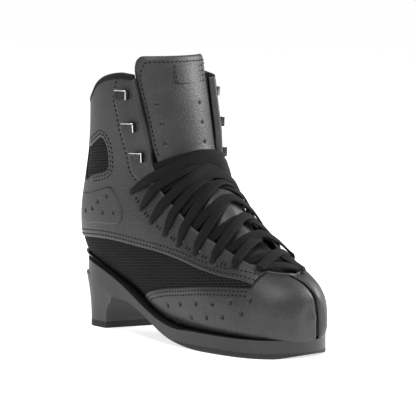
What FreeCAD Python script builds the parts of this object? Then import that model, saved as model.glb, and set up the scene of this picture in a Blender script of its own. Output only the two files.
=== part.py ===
import FreeCAD, Part
import math
import os
from FreeCAD import Matrix, Placement, Rotation, Vector

# Figure-skating boot, right foot, with no blade.  Millimetres.
# +Z up, toe towards -Y, outer (lateral) side towards -X.  Z = 0 is the floor under the heel and sole.
# Side views are drawn as (run, z): run is the distance forward from the back of the heel, y = MID - run.

os.makedirs("parts", exist_ok=True)
doc = FreeCAD.newDocument("skating_boot")

# ---------------------------------------------------------------- driving dimensions
sheet = doc.addObject("Spreadsheet::Sheet", "sizes")
SIZES = {
    "leather": 2.0,          # outer leather thickness
    "stiffener": 1.2,        # counter, puff and stays under the leather
    "lining": 4.8,           # padded lining
    "tongue_thick": 4.5,     # lower tongue
    "overlay": 1.6,          # heel patches and the sole's flange
    "binding_height": 7.0,
    "footbed_thick": 4.0,
    "outsole_thick": 5.0,
    "top_lift_thick": 6.0,
    "eyelet_bore_radius": 2.3,
    "eyelet_barrel_radius": 3.0,
    "eyelet_flange_radius": 4.6,
    "eyelet_flange_thick": 0.7,
    "lace_radius": 1.6,
    "hook_width": 8.0,
    "hook_reach": 11.0,
    "hook_gap": 4.2,
    "hook_sheet": 1.2,
    "rivet_head_radius": 3.0,
    "rivet_shank_radius": 1.5,
    "groove_width": 5.0,
    "loop_width": 30.0,
    "loop_height": 15.0,
}
for line, (name, value) in enumerate(SIZES.items(), start=1):
    sheet.set("A%d" % line, name)
    sheet.set("B%d" % line, str(value))
    sheet.setAlias("B%d" % line, name)
doc.recompute()


def size(name):
    return float(sheet.get(name))


MID = 132.7                  # run of the frame's origin
FAR = 400.0                  # larger than the boot
GAP = 0.3                    # clearance between curved faces

# ---------------------------------------------------------------- the boot's outer form
# Each station is a closed section in a plane that contains the X direction and the line from its
# top point to its bottom point; the planes fan round the ankle.
# top run, top z, bottom run, bottom z, outer half width, inner half width, roundness of the top on
# the outer and the inner side, roundness of the bottom, place of the widest point from the top
STATIONS = (
    (274, 41, 274, 25, 9, 8, 2.0, 2.0, 2.0, 0.50),
    (273, 50, 273, 14, 20, 15, 2.2, 2.2, 2.6, 0.55),
    (267, 58, 267, 12, 31, 23, 2.4, 2.4, 3.2, 0.60),
    (256, 66, 256, 12, 41, 31, 2.4, 2.4, 3.6, 0.62),
    (240, 75, 240, 12, 48, 37, 2.3, 2.3, 3.8, 0.64),
    (220, 88, 219, 12, 51, 40, 2.1, 2.1, 3.8, 0.66),
    (199, 100, 196, 12, 51, 41, 2.0, 2.1, 4.2, 0.66),
    (176, 117, 170, 12, 49, 42, 2.0, 2.3, 4.2, 0.64),
    (158, 133, 142, 13, 46, 42, 2.0, 2.6, 4.2, 0.60),
    (144, 144, 112, 22, 45, 42, 2.1, 3.0, 4.0, 0.57),
    (139, 153, 78, 38, 45, 42, 2.2, 3.4, 3.4, 0.54),
    (137, 165, 0, 64, 43, 42, 2.3, 4.2, 2.4, 0.50),
    (133, 172, -9, 90, 43, 43, 2.4, 4.6, 2.3, 0.48),
    (127, 183, -4, 125, 44, 45, 2.5, 5.0, 2.2, 0.46),
    (121, 201, 6, 162, 46, 46, 2.6, 5.0, 2.2, 0.45),
    (116, 222, 10, 198, 47, 47, 2.6, 5.0, 2.2, 0.45),
    (111, 254, 10, 238, 47, 48, 2.6, 5.0, 2.2, 0.45),
)
TOE_PULL = (1.0, 0.75, 0.5, 0.25, 0.1)     # how far an inset moves the toe's sections back
SIDE_POINTS = 15                           # points on each side of a section
SMALLEST = 4.0                             # a section with less half width than this is left out


def half_section(width, top_power, bottom_power, waist, height):
    """Evenly spaced (across, down) points of one side of a section, from its top to its bottom."""
    fine = 240
    points = []
    for i in range(fine + 1):
        angle = math.pi * i / fine
        c, s = math.cos(angle), max(math.sin(angle), 0.0)
        power = top_power if c > 0 else bottom_power
        reach = waist if c > 0 else 1.0 - waist
        down = waist - math.copysign(reach * abs(c) ** (2.0 / power), c)
        points.append((width * s ** (2.0 / power), down * height))
    travel = [0.0]
    for (a, b), (c, d) in zip(points, points[1:]):
        travel.append(travel[-1] + math.hypot(c - a, d - b))
    even = []
    for i in range(SIDE_POINTS + 1):
        target = travel[-1] * i / SIDE_POINTS
        k = max(1, next(n for n, t in enumerate(travel) if t >= target - 1e-9))
        f = (target - travel[k - 1]) / max(travel[k] - travel[k - 1], 1e-9)
        (a, b), (c, d) = points[k - 1], points[k]
        even.append((a + (c - a) * f, b + (d - b) * f))
    return even


def section_wire(station, inset, pull):
    """One closed section of the boot's form, moved inwards by inset."""
    top_run, top_z, low_run, low_z, outer, inner, top_outer, top_inner, bottom, waist = station
    height = math.hypot(low_run - top_run, low_z - top_z)
    run_dir, z_dir = (low_run - top_run) / height, (low_z - top_z) / height
    if min(outer, inner, height / 2) - inset < SMALLEST:
        return None
    start = (top_run - inset * pull + run_dir * inset, top_z + z_dir * inset)
    depth = height - 2 * inset
    left = half_section(outer - inset, top_outer, bottom, waist, depth)
    right = half_section(inner - inset, top_inner, bottom, waist, depth)
    ring = [(-a, d) for a, d in left[::-1]] + [(a, d) for a, d in right[1:-1]]
    points = [Vector(a, MID - start[0] - run_dir * d, start[1] + z_dir * d) for a, d in ring]
    count = len(points)
    curve = Part.BSplineCurve()
    curve.interpolate(Points=points, PeriodicFlag=True, Parameters=[i / count for i in range(count + 1)])
    return Part.Wire([curve.toShape()])


def boot_form(inset):
    """The solid inside the boot's form moved inwards by inset (negative: outwards)."""
    wires = []
    for i, station in enumerate(STATIONS):
        pull = TOE_PULL[i] if i < len(TOE_PULL) else 0.0
        wire = section_wire(station, inset, pull)
        if wire:
            wires.append(wire)
    return Part.makeLoft(wires, True, False, False)


# ---------------------------------------------------------------- side and plan outlines
def spline(points):
    curve = Part.BSplineCurve()
    curve.interpolate(points)
    return curve.toShape()


def side_prism(curves, left=-FAR, right=FAR):
    """Solid between x = left and x = right whose side view is bounded by smooth curves joined end to
    end by straight lines.  Each curve is a list of (run, z)."""
    edges = []
    ends = []
    for points in curves:
        place = [Vector(left, MID - run, z) for run, z in points]
        if len(place) == 2:
            edges.append(Part.makeLine(place[0], place[1]))
        elif len(place) > 2:
            edges.append(spline(place))
        ends.append((place[0], place[-1]))
    for (_, last), (first, _) in zip(ends, ends[1:] + ends[:1]):
        if last.distanceToPoint(first) > 1e-6:
            edges.append(Part.makeLine(last, first))
    wire = Part.Wire(Part.__sortEdges__(edges))
    return Part.Face(wire).extrude(Vector(right - left, 0, 0))


# the collar's edge, from behind the heel forwards
COLLAR = [(-30, 202), (-8, 202), (8, 203.5), (22, 207), (36, 214.5), (46, 223), (59, 229), (77, 232),
          (90, 231), (105, 229), (140, 228)]
# the front edge of each flap and facing, from above the collar down to the toe
OUTER_EDGE = [(90, 262), (91, 240), (93, 227), (97.5, 210), (103, 188), (106.5, 168), (108, 155),
              (112.5, 145), (119.5, 134), (131, 123), (144, 113), (159, 103), (176, 95.5), (195, 88),
              (216, 80), (236, 73), (256, 67.5)]
INNER_EDGE = [(96, 262), (99, 242), (103, 226), (111, 195), (117, 170), (120, 155), (124, 143),
              (131, 132), (140, 121.5), (151, 111), (164, 102), (180, 94.5), (197, 87.5), (216, 80),
              (236, 73), (256, 67.5)]
MESH_UPPER = [(-30, 79), (7, 81), (45, 83.5), (76, 83), (115, 80), (134, 78), (160, 74), (183, 69.5),
              (208, 66), (227, 64.5), (240, 61.5)]
MESH_LOWER = [(240, 59), (217, 58), (187, 55.5), (162, 52), (134, 48), (113, 42.5), (99, 35)]
ANKLE_WINDOW = [(19, 160), (44, 170.5), (52, 174.5), (58, 170), (60.5, 163), (61, 152), (59, 146),
                (52, 143), (36, 139.5), (19, 135)]
HEEL_PATCH = [(16, 96), (71, 98), (78, 102), (79, 109), (68.5, 127), (61.5, 131), (49.5, 128), (16, 120)]
FLANGE_LINE = [(-30, 69), (3, 68), (21, 65), (35, 61), (51, 54), (67, 46), (89, 31.5), (104, 23)]
PLATE_LINE = [(-30, 52), (10, 50), (30, 46), (47, 39), (60, 32), (75, 31), (89, 28), (114, 17.5),
              (137, 8), (148, 5)]
OUTSOLE_REAR = [(148, 5), (160, 3), (175, 1.2), (195, 0)]
OUTSOLE_TOE = [(258, 0), (268, 1.4), (277, 5)]
LINING_EDGE = [(100, 150), (86, 133), (84, 123), (98, 108), (113, 96.5), (132, 87), (152, 79.5),
               (173, 73.5), (195, 68), (217, 64.5), (238, 62), (262, 60)]
STAY_EDGE = [(60, 262), (76, 229), (74, 208), (78, 195), (80, 181), (84, 161), (84, 145), (80, 131),
             (84, 121), (98, 106), (113, 94.5), (132, 85), (152, 77.5), (173, 71.5), (195, 67),
             (217, 63.5), (238, 61), (262, 59)]
FLOOR_LINE = [(-30, 80), (0, 77), (20, 73), (42, 66), (78, 52), (112, 37), (142, 29), (170, 28),
              (240, 28), (290, 29)]
SOLE_OUTER = [(0, 3), (-20, 7), (-33, 22), (-38, 45), (-40, 75), (-43, 105), (-47, 135),
              (-50.5, 160), (-52.5, 190), (-52, 215), (-48, 240), (-39, 257), (-24, 268), (0, 273.5)]
SOLE_INNER = [(0, 273.5), (16, 270), (29, 259), (37, 244), (42, 222), (44, 195), (42, 165), (39, 135),
              (37, 105), (36, 75), (36, 45), (31, 22), (19, 7), (0, 3)]


def below(line, low=-FAR, far=330):
    """Curves of the side view below a line of (run, z), carried on level past its front end."""
    last_z = line[-1][1]
    return [line, [(far, last_z), (far, low)], [(far, low), (line[0][0], low)]]


def shift(line, up):
    return [(run, z + up) for run, z in line]


outer_form = boot_form(0)
proud_form = boot_form(-size("overlay"))
under_leather = boot_form(size("leather"))
under_stiffener = boot_form(size("leather") + size("stiffener"))
cavity_form = boot_form(size("leather") + size("stiffener") + size("lining"))
tongue_form = boot_form(size("leather") + size("stiffener") + size("lining") + size("tongue_thick"))

outer_opening = side_prism([OUTER_EDGE, [(300, 67.5), (300, 262)]], -FAR, 0)
inner_opening = side_prism([INNER_EDGE, [(300, 67.5), (300, 262)]], 0, FAR)
opening = outer_opening.fuse(inner_opening)
below_collar = side_prism(below(COLLAR))
below_binding = side_prism(below(shift(COLLAR, -size("binding_height"))))
binding_band = below_collar.cut(below_binding)


def layer(outside, inside):
    """One layer of the upper, below the collar's binding and behind the flaps' edges."""
    return outside.cut(inside).common(below_binding).cut(opening)


leather_layer = layer(outer_form, under_leather)
stiff_layer = layer(under_leather, under_stiffener)
lining_layer = layer(under_stiffener, cavity_form)
outer_half = side_prism([[(-100, -50), (400, -50)], [(400, 300), (-100, 300)]], -FAR, 0)
inner_half = side_prism([[(-100, -50), (400, -50)], [(400, 300), (-100, 300)]], 0, FAR)
HALVES = {"lateral": outer_half, "medial": inner_half}
SIDE_SIGN = {"lateral": -1, "medial": 1}

doc_parts = []


def feature(label, shape):
    """A freeform sub-part: its surfaces are cut from the boot's lofted form."""
    if hasattr(shape, "Solids") and len(shape.Solids) == 1:
        shape = shape.Solids[0]
    item = doc.addObject("Part::Feature", label)
    item.Label = label
    item.Shape = shape
    doc_parts.append(item)
    return item


# ---------------------------------------------------------------- points on the form, for fittings
def hit(run, z, side, form=None):
    """Point of the boot's form on a line across the boot, and the outward normal there."""
    form = form or outer_form
    sign = SIDE_SIGN[side]
    probe = Part.makeLine(Vector(0, MID - run, z), Vector(sign * 90, MID - run, z))
    inside = form.common(probe)
    point = max((v.Point for v in inside.Vertexes), key=lambda p: p.x * sign)
    return point, normal_at(form, point)


def drop(x, run, form=None):
    """Point of the boot's form on a vertical line, seen from above, and its outward normal."""
    form = form or outer_form
    inside = form.common(Part.makeLine(Vector(x, MID - run, -20), Vector(x, MID - run, 300)))
    point = max((v.Point for v in inside.Vertexes), key=lambda p: p.z)
    return point, normal_at(form, point)


def normal_at(form, point):
    face = max(form.Faces, key=lambda f: f.Area)
    u, v = face.Surface.parameter(point)
    normal = face.normalAt(u, v)
    centre = Vector(0, point.y * 0.6, 60)
    return normal if normal.dot(point - centre) > 0 else normal * -1


def seat(point, normal, forward=Vector(0, -1, 0)):
    """Placement whose Z axis is the outward normal and whose X axis points towards the toe."""
    across = normal.cross(forward).normalize()
    ahead = across.cross(normal).normalize()
    turn = Matrix(ahead.x, across.x, normal.x, point.x, ahead.y, across.y, normal.y, point.y,
                  ahead.z, across.z, normal.z, point.z, 0, 0, 0, 1)
    return Placement(turn)


# eyelets from the toe up, and hooks from the ankle up, as (run, z) in side view
EYELETS = [(217.5, 74), (195, 77), (175, 82), (154, 88), (136, 95.5), (119, 104.5), (105.5, 115),
           (91, 128)]
TOE_EYELETS = {"lateral": (-27, 236), "medial": (11, 248)}
HOOKS = {"lateral": [(97, 159), (90.5, 185), (84.5, 213)], "medial": [(109, 160), (102, 186), (94, 213)]}
eyelet_seats = {}
hook_seats = {}
for side in ("lateral", "medial"):
    places = [drop(*TOE_EYELETS[side])] + [hit(run, z, side) for run, z in EYELETS]
    eyelet_seats[side] = places
    hook_seats[side] = [hit(run, z, side) for run, z in HOOKS[side]]

# ---------------------------------------------------------------- PartDesign fittings
def new_body(label):
    body = doc.addObject("PartDesign::Body", label)
    body.Label = label
    return body


def origin_item(body, role):
    return next(f for f in body.Origin.OriginFeatures if f.Role == role)


def sketch_on(body, role, name):
    sketch = body.newObject("Sketcher::SketchObject", name)
    sketch.AttachmentSupport = [(origin_item(body, role), "")]
    sketch.MapMode = "FlatFace"
    return sketch


def closed_lines(sketch, points):
    for a, b in zip(points, points[1:] + points[:1]):
        sketch.addGeometry(Part.LineSegment(Vector(a[0], a[1], 0), Vector(b[0], b[1], 0)), False)


def turned_piece(label, profile):
    """A solid of revolution about Z from (radius, z) points."""
    body = new_body(label)
    sketch = sketch_on(body, "XZ_Plane", label + "_profile")
    closed_lines(sketch, profile)
    turn = body.newObject("PartDesign::Revolution", label + "_turn")
    turn.Profile = sketch
    turn.ReferenceAxis = (origin_item(body, "Z_Axis"), [""])
    turn.Angle = 360
    return body


facing_thick = size("leather") + size("stiffener")
bore, barrel = size("eyelet_bore_radius"), size("eyelet_barrel_radius")
flange, rim = size("eyelet_flange_radius"), size("eyelet_flange_thick")
back = -facing_thick - GAP
eyelet_master = turned_piece("eyelet_master", [
    (bore, rim), (flange - 0.4, rim), (flange, 0.35), (flange, 0.0), (barrel, 0.0), (barrel, back),
    (flange - 0.6, back), (flange - 0.6, back - 0.35), (flange - 0.9, back - rim), (bore, back - rim)])
rivet_head, rivet_shank = size("rivet_head_radius"), size("rivet_shank_radius")
HOOK_LIFT = 0.4              # the base plate stands on the curved leather's crown
tail_z = back - HOOK_LIFT - 0.1
rivet_master = turned_piece("rivet_master", [
    (0, size("hook_sheet") + 1.2), (rivet_head - 1.2, size("hook_sheet") + 1.0),
    (rivet_head, size("hook_sheet") + 0.2), (rivet_head, size("hook_sheet")),
    (rivet_shank, size("hook_sheet")), (rivet_shank, tail_z), (rivet_head, tail_z),
    (rivet_head, tail_z - 0.9), (0, tail_z - 0.9)])

# a hook is one bent strip: base, front bend and a head that reaches back over the lace
hook_master = new_body("hook_master")
strip = sketch_on(hook_master, "XZ_Plane", "hook_strip")
reach, opening_gap, metal = size("hook_reach"), size("hook_gap"), size("hook_sheet")
closed_lines(strip, [
    (-5.0, 0), (5.2, 0), (6.6, 1.2), (7.0, 2.6), (6.8, opening_gap + metal - 0.4),
    (5.4, opening_gap + 2 * metal), (-reach + 7.0, opening_gap + 2 * metal + 1.0),
    (-reach + 6.0, opening_gap + 2 * metal + 0.4), (-reach + 6.4, opening_gap + metal + 0.7),
    (4.9, opening_gap + metal), (5.7, opening_gap + 0.2), (5.8, 2.4), (5.0, metal), (-5.0, metal)])
hook_pad = hook_master.newObject("PartDesign::Pad", "hook_pad")
hook_pad.Profile = strip
hook_pad.SideType = "Symmetric"
hook_pad.setExpression("Length", "sizes.hook_width")
shank_hole = sketch_on(hook_master, "XY_Plane", "hook_shank_hole")
shank_hole.addGeometry(Part.Circle(Vector(-1.0, 0, 0), Vector(0, 0, 1), rivet_shank), False)
hook_hole = hook_master.newObject("PartDesign::Pocket", "hook_hole")
hook_hole.Profile = shank_hole
hook_hole.SideType = "Two sides"
hook_hole.Length = metal + 0.05
hook_hole.Length2 = metal + 0.05
doc.recompute()


def copies(label, master, seats, offset=Vector(0, 0, 0)):
    """One node of identical fittings, one at each seat."""
    solids = []
    for point, normal in seats:
        place = seat(point, normal)
        shape = master.Shape.copy()
        shape.Placement = place.multiply(Placement(offset, Rotation()))
        solids.append(shape)
    item = doc.addObject("Part::Feature", label)
    item.Label = label
    item.Shape = Part.makeCompound(solids)
    doc_parts.append(item)
    return solids


RIVET_SET_BACK = Vector(-1.0, 0, 0)
EYELET_LIFT = 0.2
FIT = 0.15                   # play between a barrel or shank and its hole
HOLE_DEPTH = 10.0
fitting_holes = []           # through the leather and the stiffener
lining_holes = []            # room in the lining for the inner flanges and rivet heads
for side in ("lateral", "medial"):
    copies("eyelets_" + side, eyelet_master, eyelet_seats[side], Vector(0, 0, EYELET_LIFT))
    copies("hooks_" + side, hook_master, hook_seats[side], Vector(0, 0, HOOK_LIFT))
    copies("hook_rivets_" + side, rivet_master, hook_seats[side], RIVET_SET_BACK + Vector(0, 0, HOOK_LIFT))
    for point, normal in eyelet_seats[side]:
        start = point - normal * HOLE_DEPTH
        fitting_holes.append(Part.makeCylinder(barrel + FIT, HOLE_DEPTH + 2, start, normal))
        lining_holes.append(Part.makeCylinder(flange + FIT, HOLE_DEPTH - 2.4, start, normal))
    for point, normal in hook_seats[side]:
        start = seat(point, normal).multVec(RIVET_SET_BACK) - normal * HOLE_DEPTH
        fitting_holes.append(Part.makeCylinder(rivet_shank + FIT, HOLE_DEPTH + 2, start, normal))
        lining_holes.append(Part.makeCylinder(rivet_head + 2 * FIT, HOLE_DEPTH - 2.4, start, normal))

# ---------------------------------------------------------------- outer leather and mesh
mesh_region = side_prism([MESH_UPPER, MESH_LOWER, [(104, -30), (-30, -30)]])
vamp_region = side_prism([MESH_LOWER, [(104, -30), (330, -30)], [(330, 120), (247, 120)],
                          [(247, 120), (240, 61.5)]])
ankle_region = side_prism([ANKLE_WINDOW])
patch_region = side_prism([[p, q] for p, q in zip(HEEL_PATCH, HEEL_PATCH[1:] + HEEL_PATCH[:1])])
half_groove = size("groove_width") / 2
groove = Part.makeBox(2 * half_groove, 60, 90, Vector(-half_groove + 1, MID - 290, 8))
filler_outline = [(0, 22), (-20, 30), (-25, 60), (-27, 100), (-33, 150), (-36, 200), (-32, 236),
                  (0, 255), (24, 236), (29, 200), (26, 150), (24, 100), (22, 60), (19, 30)]
filler_wire = Part.BSplineCurve()
filler_wire.interpolate(Points=[Vector(x, MID - run, -30) for x, run in filler_outline], PeriodicFlag=True)
filler_prism = Part.Face(Part.Wire([filler_wire.toShape()])).extrude(Vector(0, 0, 130))
filler_prism = filler_prism.common(side_prism(below(FLOOR_LINE)))

quarter_layer = leather_layer.cut(mesh_region.fuse(vamp_region)).cut(ankle_region).cut(fitting_holes)
mesh_layer = leather_layer.common(mesh_region).cut(filler_prism)
vamp_layer = leather_layer.common(vamp_region).cut(filler_prism).cut(groove).cut(fitting_holes)
ankle_layer = leather_layer.common(ankle_region)
patch_layer = proud_form.cut(outer_form).common(patch_region)
for side, half in HALVES.items():
    feature("quarter_" + side, quarter_layer.common(half))
    feature("toe_vamp_" + side, vamp_layer.common(half))
    feature("side_mesh_" + side, mesh_layer.common(half))
    feature("ankle_mesh_" + side, ankle_layer.common(half))
    feature("heel_patch_" + side, patch_layer.common(half))
feature("bottom_filler", outer_form.cut(under_leather).common(filler_prism))
feature("collar_binding", outer_form.cut(cavity_form).common(binding_band).cut(opening))

# ---------------------------------------------------------------- stiffeners, stays and lining
COUNTER_LINE = [(-30, 118), (40, 112), (80, 84), (100, 60), (104, 20)]
PUFF_LINE = [(222, -30), (226, 60), (222, 110)]
counter_region = side_prism([COUNTER_LINE, [(104, -30), (-30, -30)]])
puff_region = side_prism([PUFF_LINE, [(330, 110), (330, -30)]])
middle_region = side_prism([COUNTER_LINE, [(104, -30), (222, -30)], PUFF_LINE, [(222, 300), (-30, 300)]])
stay_region = side_prism([STAY_EDGE, [(330, 59), (330, 262)]])
groove_back = Part.makeBox(16, 60, 90, Vector(-7, MID - 290, 8))
feature("heel_counter", stiff_layer.common(counter_region))
feature("toe_puff", stiff_layer.common(puff_region).cut(groove_back).cut(fitting_holes))
feature("toe_groove_strip", stiff_layer.common(puff_region).common(groove_back).cut(fitting_holes))
for side, half in HALVES.items():
    middle = stiff_layer.common(half).common(middle_region)
    feature("facing_stay_" + side, middle.common(stay_region).cut(fitting_holes))
    feature("interlining_" + side, middle.cut(stay_region))
floor_region = side_prism(below(FLOOR_LINE))
lining_cut = side_prism([LINING_EDGE, [(330, 60), (330, 150)]]).cut(side_prism([
    [(236, -30), (236, 200)], [(330, 200), (330, -30)]]))
upper_lining = lining_layer.cut(floor_region).cut(lining_cut).cut(lining_holes)
for side, half in HALVES.items():
    feature("lining_" + side, upper_lining.common(half))
feature("insole_board", lining_layer.common(floor_region))
raised = cavity_form.copy()
raised.translate(Vector(0, 0, size("footbed_thick")))
feature("footbed", cavity_form.cut(raised).common(side_prism(below(shift(FLOOR_LINE, 8)))))

# ---------------------------------------------------------------- sole, heel and outsole
def plan_wire(z, *curves):
    edges = [spline([Vector(x, MID - run, z) for x, run in points]) for points in curves]
    return Part.Wire(edges)


sole_column = Part.Face(plan_wire(0, SOLE_OUTER, SOLE_INNER)).extrude(Vector(0, 0, 90))
foot_edges = [e for e in sole_column.Edges if e.BoundBox.ZMax < 0.1]
rounded_column = sole_column.makeFillet(2.2, foot_edges)
plate_zone = side_prism([PLATE_LINE, [(300, 5), (300, 16)], [(170, 16), (142, 17), (112, 26), (78, 42),
                                                           (42, 56), (-30, 62)]])
flange_zone = side_prism([FLANGE_LINE, [(104, -30), (-30, -30)]]).cut(side_prism(below(PLATE_LINE)))
core = sole_column.common(plate_zone)
flange_shell = proud_form.common(flange_zone)
sole_plate = core.fuse(flange_shell).cut(outer_form)
sole_plate = max(sole_plate.removeSplitter().Solids, key=lambda s: s.Volume)
feature("sole_plate", sole_plate)
outsole_zone = side_prism([OUTSOLE_REAR, OUTSOLE_TOE, [(277, 5), (148, 5)]])
feature("forefoot_outsole", rounded_column.common(outsole_zone))


def heel_wire(z, points):
    place = [Vector(x, MID - run, z) for x, run in points]
    return Part.Wire([spline(place), Part.makeLine(place[-1], place[0])])


HEEL_FOOT = [(-27.5, 37), (-27, 24), (-24, 13), (-14, 7), (0, 5), (14, 7), (24, 13), (28, 26), (28, 56)]
HEEL_HEAD = [(-38, 66), (-36, 28), (-31, 13), (-19, 4.5), (0, 2), (19, 4.5), (31, 13), (36, 28), (37, 74)]
lift_top = size("top_lift_thick")
heel_loft = Part.makeLoft([heel_wire(lift_top, HEEL_FOOT), heel_wire(56, HEEL_HEAD)], True, True)
BREAST = [(-0.5, -4), (0.5, 5), (3, 14), (9, 23), (18, 29), (30, 32)]
breast_turn = math.degrees(math.atan2(56 - 37, 28 + 27.5))
breast_cut = side_prism([BREAST, [(90, 32), (90, -4)]], -120, 120)
breast_cut.translate(Vector(0, -MID, 0))
breast_cut.rotate(Vector(0, 0, 0), Vector(0, 0, 1), -breast_turn)
breast_cut.translate(Vector(-27.5, MID - 37, 0))
heel_block = heel_loft.common(side_prism(below(PLATE_LINE))).cut(breast_cut).cut(proud_form)
feature("heel_block", max(heel_block.Solids, key=lambda s: s.Volume))
lift_face = Part.Face(heel_wire(0, HEEL_FOOT))
lift = lift_face.extrude(Vector(0, 0, lift_top))
lift = lift.makeFillet(0.8, [e for e in lift.Edges if e.BoundBox.ZMax < 0.1])
feature("heel_top_lift", lift.cut(breast_cut))

# ---------------------------------------------------------------- tongue
FLEX_Z = 152.0
# z, middle x, front run, half width, depth
TONGUE = ((154, -0.7, 130, 26.4, 13), (168, -0.3, 126.5, 27.4, 14), (188, 0.2, 123, 28.4, 16),
          (208, 0.2, 119, 28.9, 18), (228, 0.2, 114, 28.9, 19), (250, 0.2, 109, 28.9, 19))
TONGUE_LAYERS = {"tongue_cover": (0.0, 1.6), "tongue_padding": (1.6, 5.6), "tongue_lining": (5.6, 6.8)}


def tongue_curve(row, inset):
    z, middle, front, width, depth = row
    points = []
    for degrees in range(-85, 86, 17):
        t = math.radians(degrees)
        run = front - inset - depth * (1 - math.cos(t))
        points.append(Vector(middle + (width - inset) * math.sin(t), MID - run, z))
    return points


def tongue_band(outside, inside):
    wires = []
    for row in TONGUE:
        a, b = tongue_curve(row, outside), tongue_curve(row, inside)[::-1]
        ends = Part.makeLine(a[-1], b[0]), Part.makeLine(b[-1], a[0])
        wires.append(Part.Wire([spline(a), ends[0], spline(b), ends[1]]))
    return Part.makeLoft(wires, True, False)


def front_prism(points, corner):
    """Extrusion along Y of a front view of (x, z) whose two upper corners are rounded."""
    plate = Part.Face(Part.makePolygon([Vector(x, -FAR, z) for x, z in points + points[:1]]))
    solid = plate.extrude(Vector(0, 2 * FAR, 0))
    high = [e for e in solid.Edges if e.BoundBox.YLength > FAR and e.BoundBox.ZMin > 200]
    return solid.makeFillet(corner, high)


tongue_front = front_prism([(-60, 154), (60, 154), (60, 220), (42, 247), (-41, 247), (-60, 220)], 14)
for label, (outside, inside) in TONGUE_LAYERS.items():
    feature(label, tongue_band(outside, inside).common(tongue_front))
loop_box = Part.makeBox(size("loop_width"), 60, size("loop_height"),
                        Vector(3 - size("loop_width") / 2, MID - 140, 223))
feature("tongue_lace_loop", tongue_band(-1.2, 0).common(loop_box))

lower_region = side_prism([[(60, FLEX_Z - 4), (170, FLEX_Z - 4)], [(262, 90), (262, 58)],
                           [(236, 60), (195, 66), (152, 82), (119, 96), (100, 110), (60, 130)]])
lower_tongue = cavity_form.cut(tongue_form).common(lower_region)
width_box = Part.makeBox(68, 400, 200, Vector(-35, -200, 40))
toe_end = side_prism([[(-60, -30), (240, -30)], [(240, 300), (-60, 300)]])
lower_tongue = lower_tongue.common(width_box).common(toe_end)

# ---------------------------------------------------------------- lace
# Places where the strands cross on the middle line, from the toe up, as (run, z).
CROSSINGS = [(229, 82), (207, 95.5), (186, 109.5), (168, 123), (156, 133), (149, 139.5), (145, 144.5),
             (142, 149)]
UNDER, OVER = 5.6, 3.2       # depth of a strand under a facing, height of a strand over it
lace_radius = size("lace_radius")


def middle_point(run, z, depth):
    """Point of the instep's middle line, moved inwards by depth."""
    near = outer_form.distToShape(Part.Vertex(Vector(0, MID - run, z)))[1][0][0]
    inward = (Vector(0, MID - 100, 60) - near).normalize()
    return near + inward * depth


def rounded_path(points):
    """Straight runs joined by tangent arcs, each as large as its two runs allow."""
    edges = []
    last = points[0]
    smallest = FAR
    for before, corner, after in zip(points, points[1:], points[2:]):
        to_before, to_after = before - corner, after - corner
        shorter = min(to_before.Length, to_after.Length)
        turn = math.pi - to_before.getAngle(to_after)
        setback = 0.45 * shorter
        radius = setback / math.tan(turn / 2)
        smallest = min(smallest, radius)
        a = corner + to_before.normalize() * setback
        b = corner + to_after.normalize() * setback
        bisector = (to_before + to_after).normalize()
        centre = corner + bisector * math.hypot(setback, radius)
        middle = centre - bisector * radius
        edges.append(Part.LineSegment(last, a).toShape())
        edges.append(Part.Arc(a, middle, b).toShape())
        last = b
    edges.append(Part.LineSegment(last, points[-1]).toShape())
    return Part.Wire(edges), smallest


def lace_tube(points):
    path, smallest = rounded_path(points)
    ring = Part.Wire([Part.makeCircle(lace_radius, points[0], points[1] - points[0])])
    tube = path.makePipeShell([ring], True, False)
    share = tube.Volume / (math.pi * lace_radius ** 2 * path.Length)
    print("lace run %.1f mm, smallest radius %.1f mm, volume share %.3f" % (path.Length, smallest, share))
    return tube


def strand_route(side, level, depth):
    """From inside one eyelet, over its facing, across the tongue and under the other facing."""
    other = "medial" if side == "lateral" else "lateral"
    (start, start_up), (end, end_up) = eyelet_seats[side][level], eyelet_seats[other][level + 1]
    middle = middle_point(*CROSSINGS[level], depth)
    edge = start + (middle - start) * 0.45 + start_up * 1.5
    far_edge = end + (middle - end) * 0.5 - end_up * 5.0
    return [start - start_up * UNDER, start + start_up * OVER, edge, middle, far_edge, end - end_up * UNDER]


lace_runs = []
for level in range(len(CROSSINGS)):
    for side, depth in (("lateral", 2.4), ("medial", 6.0)):
        lace_runs.append(lace_tube(strand_route(side, level, depth)))
(toe_a, up_a), (toe_b, up_b) = eyelet_seats["lateral"][0], eyelet_seats["medial"][0]
toe_middle = (toe_a + toe_b) * 0.5 + (up_a + up_b).normalize() * (OVER + 2.5)
lace_runs.append(lace_tube([toe_a - up_a * UNDER, toe_a + up_a * OVER, toe_middle, toe_b + up_b * OVER,
                            toe_b - up_b * UNDER]))
feature("lace", Part.makeCompound(lace_runs))
# the soft lower tongue is pressed in where the lace crosses it
feature("tongue_lower", max(lower_tongue.cut(lace_runs).Solids, key=lambda s: s.Volume))

# ---------------------------------------------------------------- check and write
doc.recompute()
for item in doc.Objects:
    if "Invalid" in item.State or "Error" in item.State:
        raise RuntimeError("%s is %s" % (item.Label, item.State))
for item in doc_parts:
    shape = item.Shape
    if shape.isNull() or not shape.isValid() or not shape.Solids:
        raise RuntimeError("%s has no valid solid" % item.Label)
for item in doc_parts:
    item.Shape.exportStep("parts/%s.step" % item.Label)
    print(item.Label, len(item.Shape.Solids), "solids", round(item.Shape.Volume), "mm3")
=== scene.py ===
import math
import random

import bmesh
import bpy
import numpy as np
from mathutils import Matrix, Vector
from mathutils.bvhtree import BVHTree


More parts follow.
